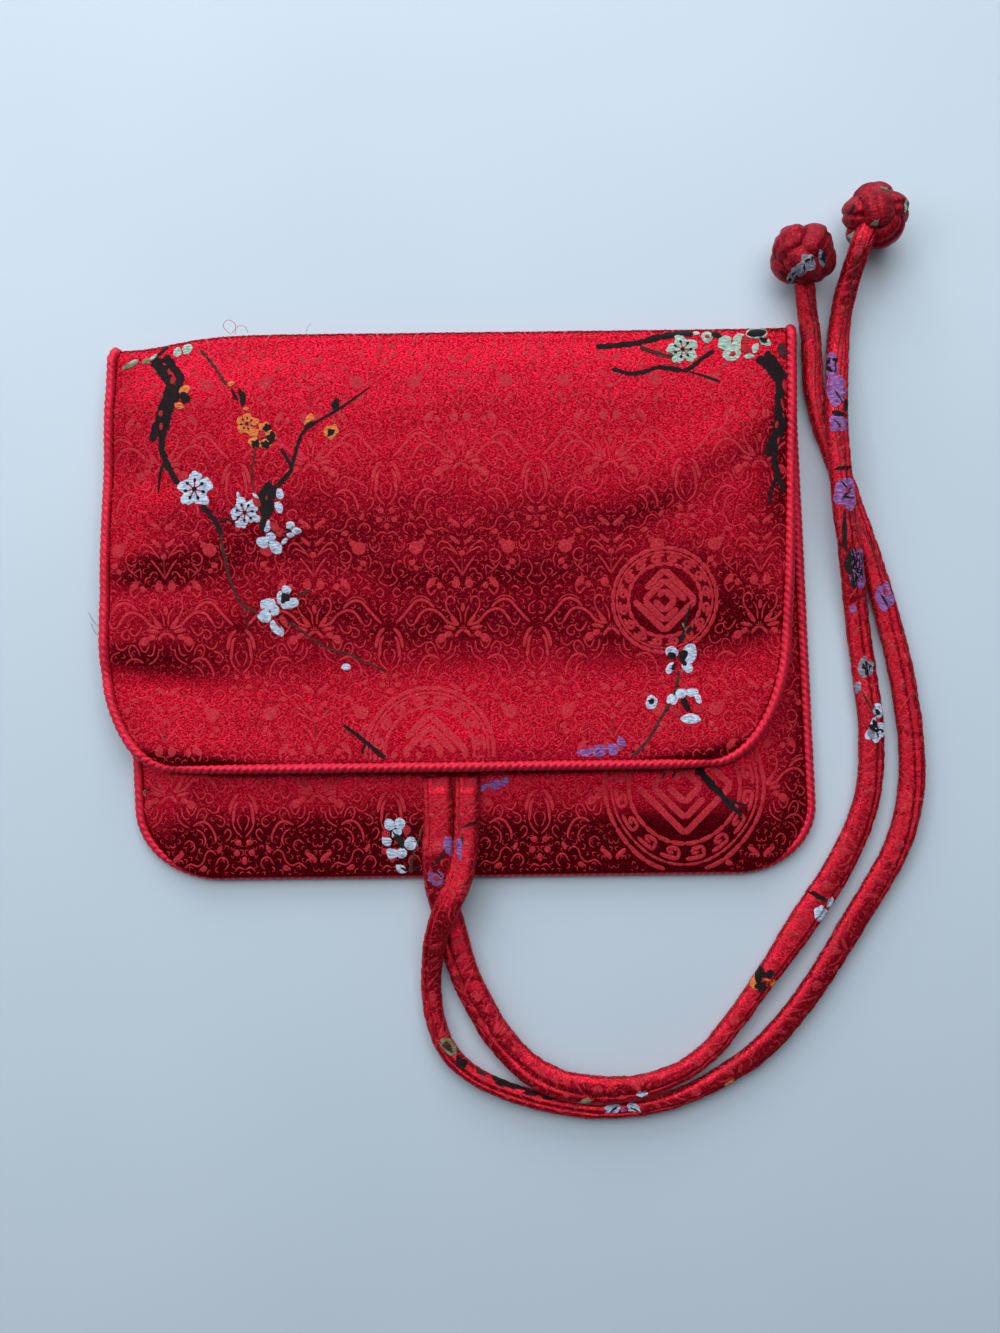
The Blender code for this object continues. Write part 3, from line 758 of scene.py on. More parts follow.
def pocketRows(inset, offset, step, count, hem):
    rows, flats = [], []
    spots = acrossPlaces(count)
    low = bodyEdgeY - bag["seamReach"] + inset
    for y in reversed(stepsUp(bag["bodyCorner"][1], low, mouthY - hem, step)):
        middle, half = bodySide(y)
        xs = [middle + u * (half - inset) for u in spots]
        t = arcHalf + foldCentreY - y
        rows.append([pocketPanel(x, t) - Vector((0, 0, offset)) for x in xs])
        flats.append([(x, t) for x in xs])
    return rows, flats


def addCloth(name, rows, flats, thick, material, node):
    work = gridWork(rows, flats)
    obj = finishWork(work, name, [material])
    body = obj.modifiers.new("clothThickness", "SOLIDIFY")
    body.thickness = thick
    body.offset = 0
    body.use_even_offset = False
    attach(obj, "root")
    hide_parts(node)
    return obj


outerRows, outerFlats = longRows(0.0, 0.0, cloth["step"], cloth["columns"])
outer = addCloth("outerBrocade", outerRows, outerFlats, bag["thick"], finishes["ground"], "outer_panel")
rows, flats = pocketRows(0.0, 0.0, cloth["step"], cloth["columns"], 0.0)
pocket = addCloth("pocketBrocade", rows, flats, bag["thick"], finishes["ground"], "pocket_panel")
rows, flats = longRows(cloth["liningInset"], cloth["liningUnder"], cloth["liningStep"], cloth["liningColumns"])
lining = addCloth("panelLining", rows, flats, bag["lining"], finishes["lining"], "panel_lining")
rows, flats = pocketRows(cloth["pocketLiningInset"], cloth["liningUnder"], cloth["liningStep"],
                         cloth["liningColumns"], cloth["mouthHem"])
pocketLining = addCloth("pocketLining", rows, flats, bag["lining"], finishes["lining"], "pocket_lining")
print("cloth panels made")

# the damask: a figure woven in the ground's own colour, mirrored about its palmettes
damask = {
    "pixel": 0.000294, "across": 74.5, "along": 165.0, "first": (463, 627),
    "edgeLift": 0.00003, "crown": 0.00009, "halfCloth": 0.112, "overrun": 0.01,
    # one repeat, in units of "pixel": width, then a path right of the palmette's middle, y up
    "lines": (
        (1.6, (2, 5), (3, 15), (7, 22)),
        (1.8, (9, 10), (15, 17), (17, 25), (15, 30), (11, 31), (8, 28), (9, 24)),
        (2.7, (7, 2), (16, 6), (22, 13), (28, 17), (34, 18.5), (40, 16.5), (45, 10), (48, 5)),
        (1.8, (48, 5), (52, 2), (56, 5), (57, 10)),
        (2.7, (29, 20), (34, 25), (41, 28), (48, 26), (54, 19), (61, 11), (67, 5)),
        (1.3, (32, 27), (40, 31.5), (48, 30), (53, 25)),
        (1.6, (24, 5), (28, -2), (32, -5), (36, -2), (36, 3), (33, 1)),
        (1.6, (37, 1), (42, 0), (45, -5), (41, -9), (37, -7), (38, -4)),
        (1.6, (17, -13), (21, -21), (25, -19), (28, -11)),
        (3.2, (0, -2.5), (4, -4), (8, -9.5)),
        (1.6, (4, -14), (4, -19), (8, -19)),
        (1.6, (12, -13), (13, -21), (16, -25), (20, -24)),
        (1.6, (8, -18), (9, -25), (13, -30), (20, -34)),
        (1.5, (27, -25), (30, -17), (35, -14), (38, -19), (36, -25), (33, -28)),
        (1.6, (38, -14), (44, -19), (49, -17), (51, -11)),
        (1.5, (47, -21), (54, -24), (56, -29), (52, -33), (48, -30)),
        (2.3, (24, -32), (31, -28), (38, -29), (43, -35), (46, -42), (46, -48)),
        (1.8, (27, -35), (33, -39), (36, -46), (34, -51)),
        (1.5, (14, -50), (19, -46), (24, -49), (24, -54), (20, -56)),
        (1.5, (12, -71), (19, -66), (27, -68), (33, -64), (36, -57), (42, -55), (46, -59)),
        (1.5, (45, -67), (50, -61), (56, -62), (58, -67), (54, -71)),
        (1.6, (0, 52), (0, 73)),
        (1.9, (0, 52), (6, 62), (13, 71)),
        (1.6, (4, 72), (10, 80), (17, 86), (23, 84), (25, 78)),
        (1.6, (5, 74), (12, 78), (18, 80), (21, 76)),
        (1.6, (7, 56), (10, 59.5), (14, 57), (15, 53)),
        (1.6, (15, 54), (19, 53), (20, 48)),
        (2.0, (26, 39), (32, 33), (36, 40)),
        (1.5, (27, 75), (32, 78), (37, 75), (38, 69), (33, 65), (27, 68)),
        (1.4, (28, 66), (33, 60), (27, 54)),
        (1.4, (38, 66), (32, 58), (24, 62), (24, 53)),
        (1.6, (57, 86), (58, 80), (63, 76), (67, 79), (66, 86)),
        (1.5, (55, 74), (58, 67), (56, 60)),
        (1.4, (43, 55), (49, 49), (45, 44)),
        (2.2, (49, 39), (53, 41), (57, 38)),
        (1.6, (54, 54), (60, 50)),
        (1.4, (66, 67), (70, 60), (69, 54), (65, 49), (69, 44), (74, 42)),
        (1.5, (62, 36), (66, 40), (70, 36), (67, 31), (62, 33)),
        (1.5, (73, 26), (68, 23), (66, 18), (69, 13), (73, 15)),
        (3.3, (70, 0), (65, -5), (62, -13), (61, -20)),
        (2.9, (69, -8), (66, -13), (65, -21), (64, -30)),
        (1.8, (64, -30), (67, -37), (73, -43)),
        (1.4, (73, -21), (69, -24), (70, -31), (73, -36)),
        (1.5, (55, -40), (58, -35), (62, -38), (60, -44), (56, -47)),
        (1.6, (64, -73), (68, -69), (74, -71)),
    ),
    # middle, half length, half width, turn
    "fills": (
        (0, 20, 2.2, 4.6, 0), (8.5, 7, 6.5, 2.3, 52), (13.5, 0, 6.5, 2.0, 12), (15, -6.5, 4, 3, -25),
        (22, -10.5, 5, 4.2, -40), (6.5, 44, 4.2, 4.8, 0), (0, 74, 3.2, 3, 0), (7, 87, 6.5, 2.0, 42),
        (23, 42, 2.8, 3.6, 0), (31.5, 45, 6.6, 3.2, -50), (46, 80, 7, 6.6, 0), (40, 85, 3.4, 3, 30),
        (50, 65, 3.4, 3.0, 0), (46, 59.5, 2.4, 3, -30), (7, -61, 6.5, 2.4, 35), (69, -48, 3.2, 2.9, 0),
        (67, -57, 3.2, 2.9, 0), (74.5, -63.5, 2.8, 3.3, 0), (50, -54, 4, 2, 60), (33, -70, 3.6, 2.6, 20),
    ),
    "curls": {"seed": 5, "tries": 5000, "across": (2, 73), "up": (-78, 87), "radius": (1.6, 3.2), "clear": 1.5,
              "points": 5, "bend": 0.9, "width": (1.1, 1.5)},
}


# a narrow ribbon of thread, a little raised along its middle
def layRibbon(work, place, points, width, lift, crown, slot=0, step=0.0009, rough=0.0, seed=0.0):
    width = width if isinstance(width, tuple) else (width, width)
    line = smoothLine([(x, y, 0) for x, y in points], step)
    row = None
    for k, spot in enumerate(line):
        along = wayAt(line, k)
        share = k / max(len(line) - 1, 1)
        half = (width[0] * (1 - share) + width[1] * share) / 2
        if k in (0, len(line) - 1):
            half *= 0.45
        left = half * (1 + rough * noise.noise(Vector((spot.x * 900, spot.y * 900, seed))))
        right = half * (1 + rough * noise.noise(Vector((spot.x * 900, spot.y * 900, seed + 9))))
        flat = [(spot.x - along.y * left, spot.y + along.x * left), (spot.x, spot.y),
                (spot.x + along.y * right, spot.y - along.x * right)]
        spots = [place(x, -y, rise) for (x, y), rise in zip(flat, (lift, lift + crown, lift))]
        if None in spots:
            row = None
            continue
        base = len(work["points"])
        work["points"] += [tuple(p) for p in spots]
        work["flat"] += [(x, y) for x, y in flat]
        if row is not None:
            for i in (0, 1):
                work["faces"].append((row + i, row + i + 1, base + i + 1, base + i))
                work["slots"].append(slot)
        row = base


# a filled shape from its outline, raised in the middle; drawn back where it would reach past the piece's edge
def layShape(work, place, outline, lift, crown, slot=0, shares=(0.6, 1.0), drawBack=False):
    cx = sum(p[0] for p in outline) / len(outline)
    cy = sum(p[1] for p in outline) / len(outline)
    middle = place(cx, -cy, lift + crown)
    if middle is None:
        return
    if drawBack:
        held = []
        for x, y in outline:
            share = 1.0
            while share > 0.05 and place(cx + (x - cx) * share, -cy - (y - cy) * share, lift) is None:
                share -= 0.06
            share = max(share, 0.02)
            held.append((cx + (x - cx) * share, cy + (y - cy) * share))
        outline = held
    rings = []
    for share in shares:
        flat = [(cx + (x - cx) * share, cy + (y - cy) * share) for x, y in outline]
        spots = [place(x, -y, lift + crown * (1 - share * share)) for x, y in flat]
        if None in spots:
            return
        rings.append((spots, flat))
    base = len(work["points"])
    work["points"].append(tuple(middle))
    work["flat"].append((cx, cy))
    n = len(outline)
    for spots, flat in rings:
        work["points"] += [tuple(p) for p in spots]
        work["flat"] += flat
    for i in range(n):
        j = (i + 1) % n
        work["faces"].append((base, base + 1 + j, base + 1 + i))
        work["slots"].append(slot)
        for k in range(len(rings) - 1):
            inner, outer = base + 1 + k * n, base + 1 + (k + 1) * n
            work["faces"].append((inner + i, inner + j, outer + j, outer + i))
            work["slots"].append(slot)


# the outline of an oval, turned, and uneven if wanted
def oval(cx, cy, rx, ry, turn, count=14, uneven=0.0, seed=0.0):
    a = math.radians(turn)
    out = []
    for i in range(count):
        t = 2 * math.pi * i / count
        r = 1 + uneven * noise.noise(Vector((math.cos(t) * 1.4 + seed, math.sin(t) * 1.4, seed)))
        x, y = rx * r * math.cos(t), ry * r * math.sin(t)
        out.append((cx + x * math.cos(a) - y * math.sin(a), cy + x * math.sin(a) + y * math.cos(a)))
    return out


# small curls that fill the ground between the larger lines of one repeat
def curls():
    small = damask["curls"]
    rng = random.Random(small["seed"])
    taken = [(x, y) for x, y, *rest in damask["fills"]]
    for width, *path in damask["lines"]:
        taken += [tuple(p)[:2] for p in smoothLine([(x, y, 0) for x, y in path], 2.5)]
    out = []
    for tries in range(small["tries"]):
        x, y = rng.uniform(*small["across"]), rng.uniform(*small["up"])
        r, turn, way = rng.uniform(*small["radius"]), rng.uniform(0, 2 * math.pi), rng.choice((1, -1))
        if any((x - a) ** 2 + (y - b) ** 2 < (r + small["clear"]) ** 2 for a, b in taken):
            continue
        angles = [turn + way * k * small["bend"] for k in range(small["points"])]
        path = [(x + r * math.cos(a), y + r * math.sin(a)) for a in angles]
        taken += path + [(x, y)]
        out.append((rng.uniform(*small["width"]), *path))
    return out


# where a place in the view lies on the cloth when it is laid flat: x, and y up from the fold line
def onCloth(px, py, z=readHeight["flap"]):
    x, y = fromAbove(px, py, z)
    return x, y - foldCentreY - arcHalf


fillers = tuple(curls())
medallions = {
    "width": 0.0012,
    # middle in the view and radius
    "flap": (((665, 600), 52), ((430, 752), 64)), "pocket": (((684, 786), 80),),
    # rings: share of the radius and of the width; keys: how many, and the line of one, as radius and angle
    "rings": ((1.0, 1.0), (0.92, 0.6), (0.70, 1.0)), "ringParts": 24,
    "keys": 16, "key": ((0.86, 0.02), (0.86, 0.30), (0.76, 0.30), (0.76, 0.12), (0.81, 0.12), (0.81, 0.22)),
    # square frets inside: size, and which side is cut open
    "frets": ((0.46, 1), (0.31, 3), (0.16, 1)), "fretStop": 0.62,
}


def nearMedallion(x, y, rings):
    return any(math.hypot(x - mx, y - my) < r * damask["pixel"] * 1.04 for (mx, my), r in rings)


# the whole figure over one panel; stops where the panel ends
def layDamask(work, place, low, high, rings, repeats=range(-3, 4)):
    px, wide, tall = damask["pixel"], damask["across"], damask["along"]
    lift, crown, spare = damask["edgeLift"], damask["crown"], damask["overrun"]
    homeX, homeY = onCloth(*damask["first"])

    def wanted(x, y):
        return abs(x) < damask["halfCloth"] and low - spare < y < high + spare
    rows = range(math.floor((low - homeY) / (tall * px)) - 1, math.ceil((high - homeY) / (tall * px)) + 2)
    for row in rows:
        for column in repeats:
            for flip in (1, -1):
                def at(dx, dy):
                    return homeX + (column * 2 * wide + flip * dx) * px, homeY + (row * tall + dy) * px
                for width, *path in damask["lines"] + fillers:
                    pts = [at(*p) for p in path]
                    if wanted(*pts[0]) and not any(nearMedallion(x, y, rings) for x, y in pts):
                        layRibbon(work, place, pts, width * px, lift, crown)
                for dx, dy, rx, ry, turn in damask["fills"]:
                    if flip == -1 and dx in (0, wide):
                        continue
                    x, y = at(dx, dy)
                    if wanted(x, y) and not nearMedallion(x, y, rings):
                        layShape(work, place, oval(x, y, rx * px, ry * px, turn * flip), lift, crown)


# a round medallion: rings, a plain key fret between them, and square frets on their corner inside
def layMedallion(work, place, middle, radius):
    mx, my = middle
    w = medallions["width"]
    lift, crown = damask["edgeLift"], damask["crown"]

    def polar(r, a):
        return mx + r * radius * math.cos(a), my + r * radius * math.sin(a)
    for r, share in medallions["rings"]:
        for k in range(medallions["ringParts"]):
            a = 2 * math.pi * k / medallions["ringParts"]
            layRibbon(work, place, [polar(r, a + d) for d in (0, 0.09, 0.18, 0.27)], w * share, lift, crown)
    key = medallions["key"]
    for k in range(medallions["keys"]):
        a = 2 * math.pi * k / medallions["keys"]
        for (r1, d1), (r2, d2) in zip(key, key[1:]):
            layRibbon(work, place, [polar(r1, a + d1), polar((r1 + r2) / 2, a + (d1 + d2) / 2),
                                    polar(r2, a + d2)], w * 0.9, lift, crown)
    for size, gap in medallions["frets"]:
        corners = [polar(size * 1.28, math.pi / 2 * q) for q in range(4)]
        for q in range(4):
            (ax, ay), (bx, by) = corners[q], corners[(q + 1) % 4]
            stop = medallions["fretStop"] if q == gap else 1.0
            pts = [(ax + (bx - ax) * s * stop, ay + (by - ay) * s * stop) for s in (0, 0.33, 0.66, 1.0)]
            layRibbon(work, place, pts, w * 1.6, lift, crown)


# the ground each figure covers: from and to along the cloth, and its medallions
figures = (
    ("outerDamask", onLong, -0.160, 0.170, "flap"),
    ("pocketDamask", onPocket, -0.160, -0.085, "pocket"),
)
for name, place, low, high, panel in figures:
    rings = [(onCloth(*spot, readHeight[panel]), r) for spot, r in medallions[panel]]
    work = newWork()
    layDamask(work, place, low, high, rings)
    for middle, r in rings:
        layMedallion(work, place, middle, r * damask["pixel"])
    piece = finishWork(work, name, [finishes["figure"]])
    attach(piece, "root")
print("damask woven")

# the plum blossom sprays, brocaded in coloured thread; heights above the cloth in metres
sprays = {
    "lift": 0.00012, "crown": 0.00016, "stem": 0.00012, "ragged": 0.5,
    "over": 0.00004, "overPale": 0.00007, "layer": 0.000004, "step": 0.0006, "nextSeed": 3.7,
    "dark": ("black", "red", "brown"),      # threads that lie over the pale ones
}
# one blossom, as shares of its size
blossom = {
    "petals": 5, "petalOut": 0.30, "petalLong": 0.20, "petalWide": 0.20, "middle": 0.17, "eye": 0.07,
    "stamens": 7, "stamenLong": 0.25, "stamenWide": 0.035, "tipLong": 0.058, "tipWide": 0.044,
}

# thread, width at both ends, and the places that the branch passes in the view
flapBranches = (
    ("black", 11, 9, (153, 348), (163, 364), (170, 378), (168, 393), (164, 408), (159, 424), (153, 441)),
    ("black", 9, 6, (163, 346), (173, 361), (180, 374), (178, 388), (173, 402), (168, 418), (164, 435),
     (163, 450), (168, 464), (174, 476), (180, 485)), ("black", 3.5, 2, (167, 461), (161, 474), (159, 493)),
    ("black", 4, 2, (166, 336), (158, 342), (150, 350)),
    ("brown", 2.6, 3.4, (199, 345), (211, 361), (221, 376), (227, 385)), ("black", 3, 4, (232, 389), (238, 401)),
    ("brown", 2, 1.6, (257, 450), (255, 463), (253, 478), (256, 492)),
    ("black", 6, 5, (203, 506), (212, 516), (219, 526), (222, 535)),
    ("brown", 2.6, 3, (222, 533), (223, 548), (226, 565), (231, 584), (238, 599), (247, 608), (259, 614)),
    ("brown", 1.4, 1.2, (241, 606), (245, 618), (247, 630)),
    ("black", 2.4, 2, (221, 523), (228, 519), (234, 523), (241, 525)),
    ("black", 5, 3, (276, 490), (283, 482), (293, 471), (289, 461), (282, 450)),
    ("black", 3.6, 2, (293, 468), (298, 450), (304, 434), (316, 424), (340, 410), (370, 388)),
    ("brown", 2, 2.6, (296, 597), (304, 592), (312, 590)),
    ("brown", 2.4, 2, (287, 621), (301, 631), (318, 643), (335, 651), (350, 655), (385, 672)),
    ("black", 3.2, 4.4, (343, 725), (358, 736), (373, 748), (390, 762)), ("black", 3, 2, (366, 743), (362, 754)),
    ("black", 5, 7, (596, 346), (622, 344), (642, 341), (660, 336), (678, 333), (694, 332)),
    ("brown", 4, 4, (640, 347), (652, 351), (663, 355), (674, 356)),
    ("black", 4, 5, (612, 369), (628, 374), (642, 373), (658, 368), (670, 369), (682, 371)),
    ("black", 5, 4, (682, 371), (692, 367), (703, 358), (715, 350)),
    ("black", 2, 3, (690, 372), (705, 377), (720, 382)),
    ("black", 9, 8, (758, 357), (769, 367), (778, 379), (780, 392), (778, 406), (778, 420), (774, 436),
     (766, 456)),
    ("black", 8, 6, (766, 352), (776, 363), (784, 376), (789, 391), (788, 405), (784, 420), (779, 435),
     (775, 448), (774, 460), (777, 474), (784, 490), (791, 506)),
    ("black", 5, 3, (777, 476), (771, 489), (769, 505)), ("black", 7, 4, (707, 340), (716, 333), (724, 338)),
    ("brown", 3.4, 3, (680, 671), (677, 689), (670, 705), (661, 719), (652, 734), (642, 747), (631, 757)),
    ("black", 3, 2, (684, 634), (687, 620), (691, 604)), ("olive", 2, 2, (683, 622), (688, 631), (694, 625)),
)
# thread, middle, half length, half width, turn, how uneven
flapPatches = (
    # buds and blots on the left spray
    ("orange", 185, 388, 6, 4.4, 20, 0.2), ("orange", 181, 405, 5.4, 3.6, -40, 0.3),
    ("black", 186, 396, 4.6, 6.6, 15, 0.3), ("orange", 232, 384, 3.4, 2.6, 30, 0.3),
    ("black", 243, 398, 9.5, 3.2, -76, 0.3), ("orange", 247, 410, 2.8, 2, 0, 0.4),
    ("orange", 266, 428, 6.2, 5.4, 20, 0.3), ("orange", 272, 437, 5.4, 6.4, 0, 0.3),
    ("orange", 266, 446, 6.8, 5, -10, 0.3), ("orange", 256, 444, 5.6, 5.4, 0, 0.3),
    ("orange", 255, 434, 5, 5, 0, 0.3), ("black", 267, 429, 5, 4.2, 20, 0.4),
    ("black", 272, 438, 4.2, 5.2, 0, 0.4), ("black", 267, 446, 5.6, 3.8, -10, 0.4),
    ("black", 257, 445, 4.6, 4.2, 0, 0.4), ("red", 263, 437, 4.4, 3.6, 0, 0.3),
    ("orange", 268, 436, 2, 3, 20, 0.4), ("black", 268, 494, 10, 8.5, 60, 0.5),
    ("black", 268, 509, 9, 6.5, 80, 0.4), ("black", 264, 524, 7, 3.4, 70, 0.3),
    ("white", 281, 495, 4.0, 5.6, 0, 0.2), ("white", 280, 508, 4.4, 5.8, 20, 0.2),
    ("red", 258, 503, 5.4, 4.0, -60, 0.1), ("red", 268, 498, 4, 1.6, 80, 0.3),
    ("red", 275, 527, 6.2, 3.6, -48, 0.1), ("white", 257, 497, 4.2, 1.6, -50, 0.2),
    ("white", 240, 497, 4.2, 1.5, 100, 0.3), ("white", 268, 527, 6.4, 3.2, 70, 0.2),
    ("white", 263, 542, 6.2, 5.6, 0, 0.15), ("white", 276, 547, 7.4, 6, -60, 0.15),
    ("white", 271, 537, 5.6, 4.4, 20, 0.2), ("white", 285, 541, 4.4, 2, 40, 0.2),
    ("white", 291, 526, 4.6, 4, 20, 0.2), ("white", 297, 531, 4.6, 3.4, 0, 0.2),
    ("white", 291, 535, 3.8, 2.6, 0, 0.2), ("black", 289, 531, 2.6, 2.2, 0, 0.4),
    ("red", 282, 532, 3.4, 2, 60, 0.1), ("white", 286, 590, 4.8, 4.6, 30, 0.2),
    ("white", 279, 597, 3, 6.4, 0, 0.2), ("white", 289, 603, 8.4, 5.4, 10, 0.2),
    ("black", 285, 598, 5.6, 5, -60, 0.4), ("white", 267, 604, 8, 6.4, 20, 0.15),
    ("white", 264, 616, 6.6, 7, 80, 0.15), ("white", 274, 610, 4.6, 6, 0, 0.2),
    ("white", 276, 628, 9.6, 5, -52, 0.15), ("red", 283, 621, 7.2, 3.0, -62, 0.1),
    ("red", 277, 624, 5.4, 1.5, -55, 0.1), ("white", 345, 667, 4.6, 3.4, 0, 0.2),
    ("black", 336, 406, 6.4, 4.4, 70, 0.4), ("orange", 310, 421, 6, 4.6, 60, 0.3),
    ("orange", 332, 434, 8, 7, 40, 0.3), ("black", 332, 434, 5, 4, 20, 0.4), ("black", 311, 426, 5, 3, 30, 0.4),
    # on the fold at the left
    ("olive", 128, 351, 8, 3.4, 20, 0.2), ("mint", 131, 348, 6, 2.2, 22, 0.3),
    ("olive", 145, 348, 4.6, 3.6, -30, 0.3), ("mint", 152, 345, 4, 2.4, 30, 0.3),
    ("mint", 176, 344, 4, 5, 0, 0.2), ("mint", 186, 343, 4.4, 5.6, 0, 0.2),
    # red slits in the trunks
    ("red", 173, 376, 2.6, 4.4, 0, 0.2), ("red", 162, 412, 2.2, 3.6, -10, 0.2),
    ("red", 162.5, 426, 1.7, 4.4, -8, 0.2), ("red", 169, 366, 1.4, 3.6, 24, 0.2),
    ("red", 784, 386, 1.9, 4.8, 10, 0.2), ("red", 776, 425, 1.8, 3.6, -10, 0.2),
    ("red", 778, 440, 1.4, 4, -14, 0.2), ("red", 782, 405, 1.1, 6.5, 12, 0.2),
    # blossoms at the right end of the fold
    ("mint", 725, 342, 6.4, 8, -30, 0.2), ("mint", 739, 338, 7, 5, 20, 0.3), ("mint", 736, 346, 6, 5, 0, 0.3),
    ("mint", 732, 354, 9, 7.4, 20, 0.15), ("red", 733, 354, 4.6, 3.4, 20, 0.2), ("red", 746, 339, 5, 4.4, 0, 0.1),
    ("red", 746, 348, 4.6, 4.2, 0, 0.1), ("mint", 756, 348, 5.4, 3.2, 70, 0.2),
    ("mint", 749, 356, 5.4, 2.6, 0, 0.2), ("mint", 758, 332, 11.4, 5.6, 4, 0.1),
    ("black", 758, 332, 9.8, 4.2, 4, 0.1), ("mint", 766, 341, 6, 4.6, -40, 0.2),
    ("black", 765, 340, 4.8, 3.6, -40, 0.3), ("mint", 782.5, 349.5, 5.8, 9, 8, 0.1),
    ("brown", 783, 350, 4.4, 7.4, 8, 0.2), ("mint", 708, 336, 5.6, 5.6, 0, 0.1),
    ("red", 708, 336, 2.8, 2.6, 0, 0.2), ("mint", 697, 332, 3.4, 2, 0, 0.2),
    # the spray at the lower right
    ("white", 673, 652, 6.4, 6, -30, 0.12), ("black", 673, 655, 4.8, 4, -40, 0.2),
    ("white", 691, 653, 7.4, 10, -8, 0.12), ("black", 685.5, 655, 6, 4, 62, 0.3),
    ("white", 671.5, 668, 6.4, 3.8, 58, 0.1), ("black", 674.5, 667, 4.6, 2, 58, 0.2),
    ("white", 688.5, 667, 6.4, 4.8, -52, 0.1), ("black", 685.5, 663, 4.4, 2.2, -50, 0.2),
    ("black", 683, 637, 4.6, 2.8, 60, 0.3), ("black", 690, 629, 4.6, 2, 55, 0.2),
    ("white", 652, 703, 6, 7, -30, 0.15), ("black", 652, 702, 3.4, 3.6, 0, 0.2),
    ("white", 673, 700, 5.8, 5.2, 0, 0.15), ("white", 682, 694, 5.4, 5, 0, 0.15),
    ("white", 693, 693, 6.6, 4, 10, 0.15), ("white", 699, 699, 3, 5.4, 20, 0.15),
    ("black", 687, 705, 8.6, 3.8, -62, 0.3), ("white", 691, 719.5, 9.4, 4.8, 0, 0.15),
    ("red", 676, 713, 4.6, 3, -70, 0.1), ("red", 699, 709, 4.4, 3.2, -60, 0.1),
    ("purple", 585, 753, 8, 4, 8, 0.3), ("purple", 600, 751, 8, 5.4, 0, 0.3),
    ("purple", 612, 749, 6.4, 6, 20, 0.3), ("purple", 621, 742, 4, 6.4, 10, 0.3),
    ("red", 606, 751, 3, 1.6, 30, 0.3), ("black", 598, 751, 3, 1, 40, 0.4),
)
# thread, middle, size, turn
flapBlossoms = (("white", 196, 490, 37, 15), ("white", 246, 513, 31, 40), ("orange", 248, 425, 22, 12),
                ("mint", 683, 349, 32, 30))
pocketBranches = (
    ("brown", 2.2, 3, (424, 826), (418, 840), (412, 855), (409, 868)),
    ("black", 9, 4, (697, 768), (710, 783), (723, 797), (741, 816)), ("black", 3, 2, (731, 800), (748, 808)),
    ("black", 2.6, 1.6, (143, 789), (150, 791)), ("olive", 1.4, 1.4, (145, 797), (142, 793), (147, 789)),
    ("black", 2, 2, (662, 778), (665, 772)), ("black", 2, 2, (672, 778), (675, 772)),
    ("brown", 2, 1.4, (712, 866), (720, 871)),
)
pocketPatches = (
    ("white", 390, 824, 5.4, 6, 0, 0.15), ("white", 400, 823, 5.4, 5.8, 0, 0.15),
    ("white", 387, 839, 5.6, 4.6, -20, 0.2), ("white", 397, 832, 5.4, 4, 30, 0.2),
    ("white", 411, 842, 6.8, 5.6, 0, 0.2), ("white", 392, 850, 6, 4.6, 0, 0.15),
    ("white", 402, 850, 5.6, 4.4, 0, 0.15), ("black", 399, 838, 9, 3.8, -52, 0.35),
    ("red", 386, 833, 4.4, 4, 0, 0.1), ("red", 407, 829, 4.2, 4.6, 0, 0.1), ("white", 401, 863, 6, 3.6, -30, 0.2),
    ("white", 416, 863, 6, 3.8, 30, 0.2), ("black", 416, 863, 3.8, 1.6, 30, 0.3),
    ("black", 403, 863, 3.4, 1.4, -30, 0.3), ("purple", 484, 787, 4.6, 3, 60, 0.25),
    ("purple", 495, 784, 6.4, 4.6, 0, 0.3), ("purple", 505, 781, 5, 4, 30, 0.25),
    ("white", 745, 865, 3.6, 3, 0, 0.1), ("white", 149, 852, 3.4, 1.4, -50, 0.2),
)


def sprayWork(place, z, branches, patches, blossoms):
    work = newWork()
    unit = damask["pixel"]
    lift, crown = sprays["lift"], sprays["crown"]
    seed = 0.0
    for thread, first, last, *path in branches:
        seed += sprays["nextSeed"]
        pts = [onCloth(px, py, z) for px, py in path]
        layRibbon(work, place, pts, (first * unit, last * unit), lift, sprays["stem"], threadOrder.index(thread),
                  step=sprays["step"], rough=sprays["ragged"], seed=seed)
    layer = 0
    for thread, px, py, rx, ry, turn, uneven in patches:
        seed += sprays["nextSeed"]
        layer += 1
        x, y = onCloth(px, py, z)
        outline = oval(x, y, rx * unit, ry * unit, turn, 18, uneven * 1.5, seed)
        above = sprays["over"] + (sprays["overPale"] if thread in sprays["dark"] else 0)
        above += (layer % 5) * sprays["layer"]
        layShape(work, place, outline, lift + above, crown, threadOrder.index(thread))
    for thread, px, py, size, turn in blossoms:
        seed += sprays["nextSeed"]
        layBlossom(work, place, onCloth(px, py, z), thread, size * unit, turn, seed)
    return work


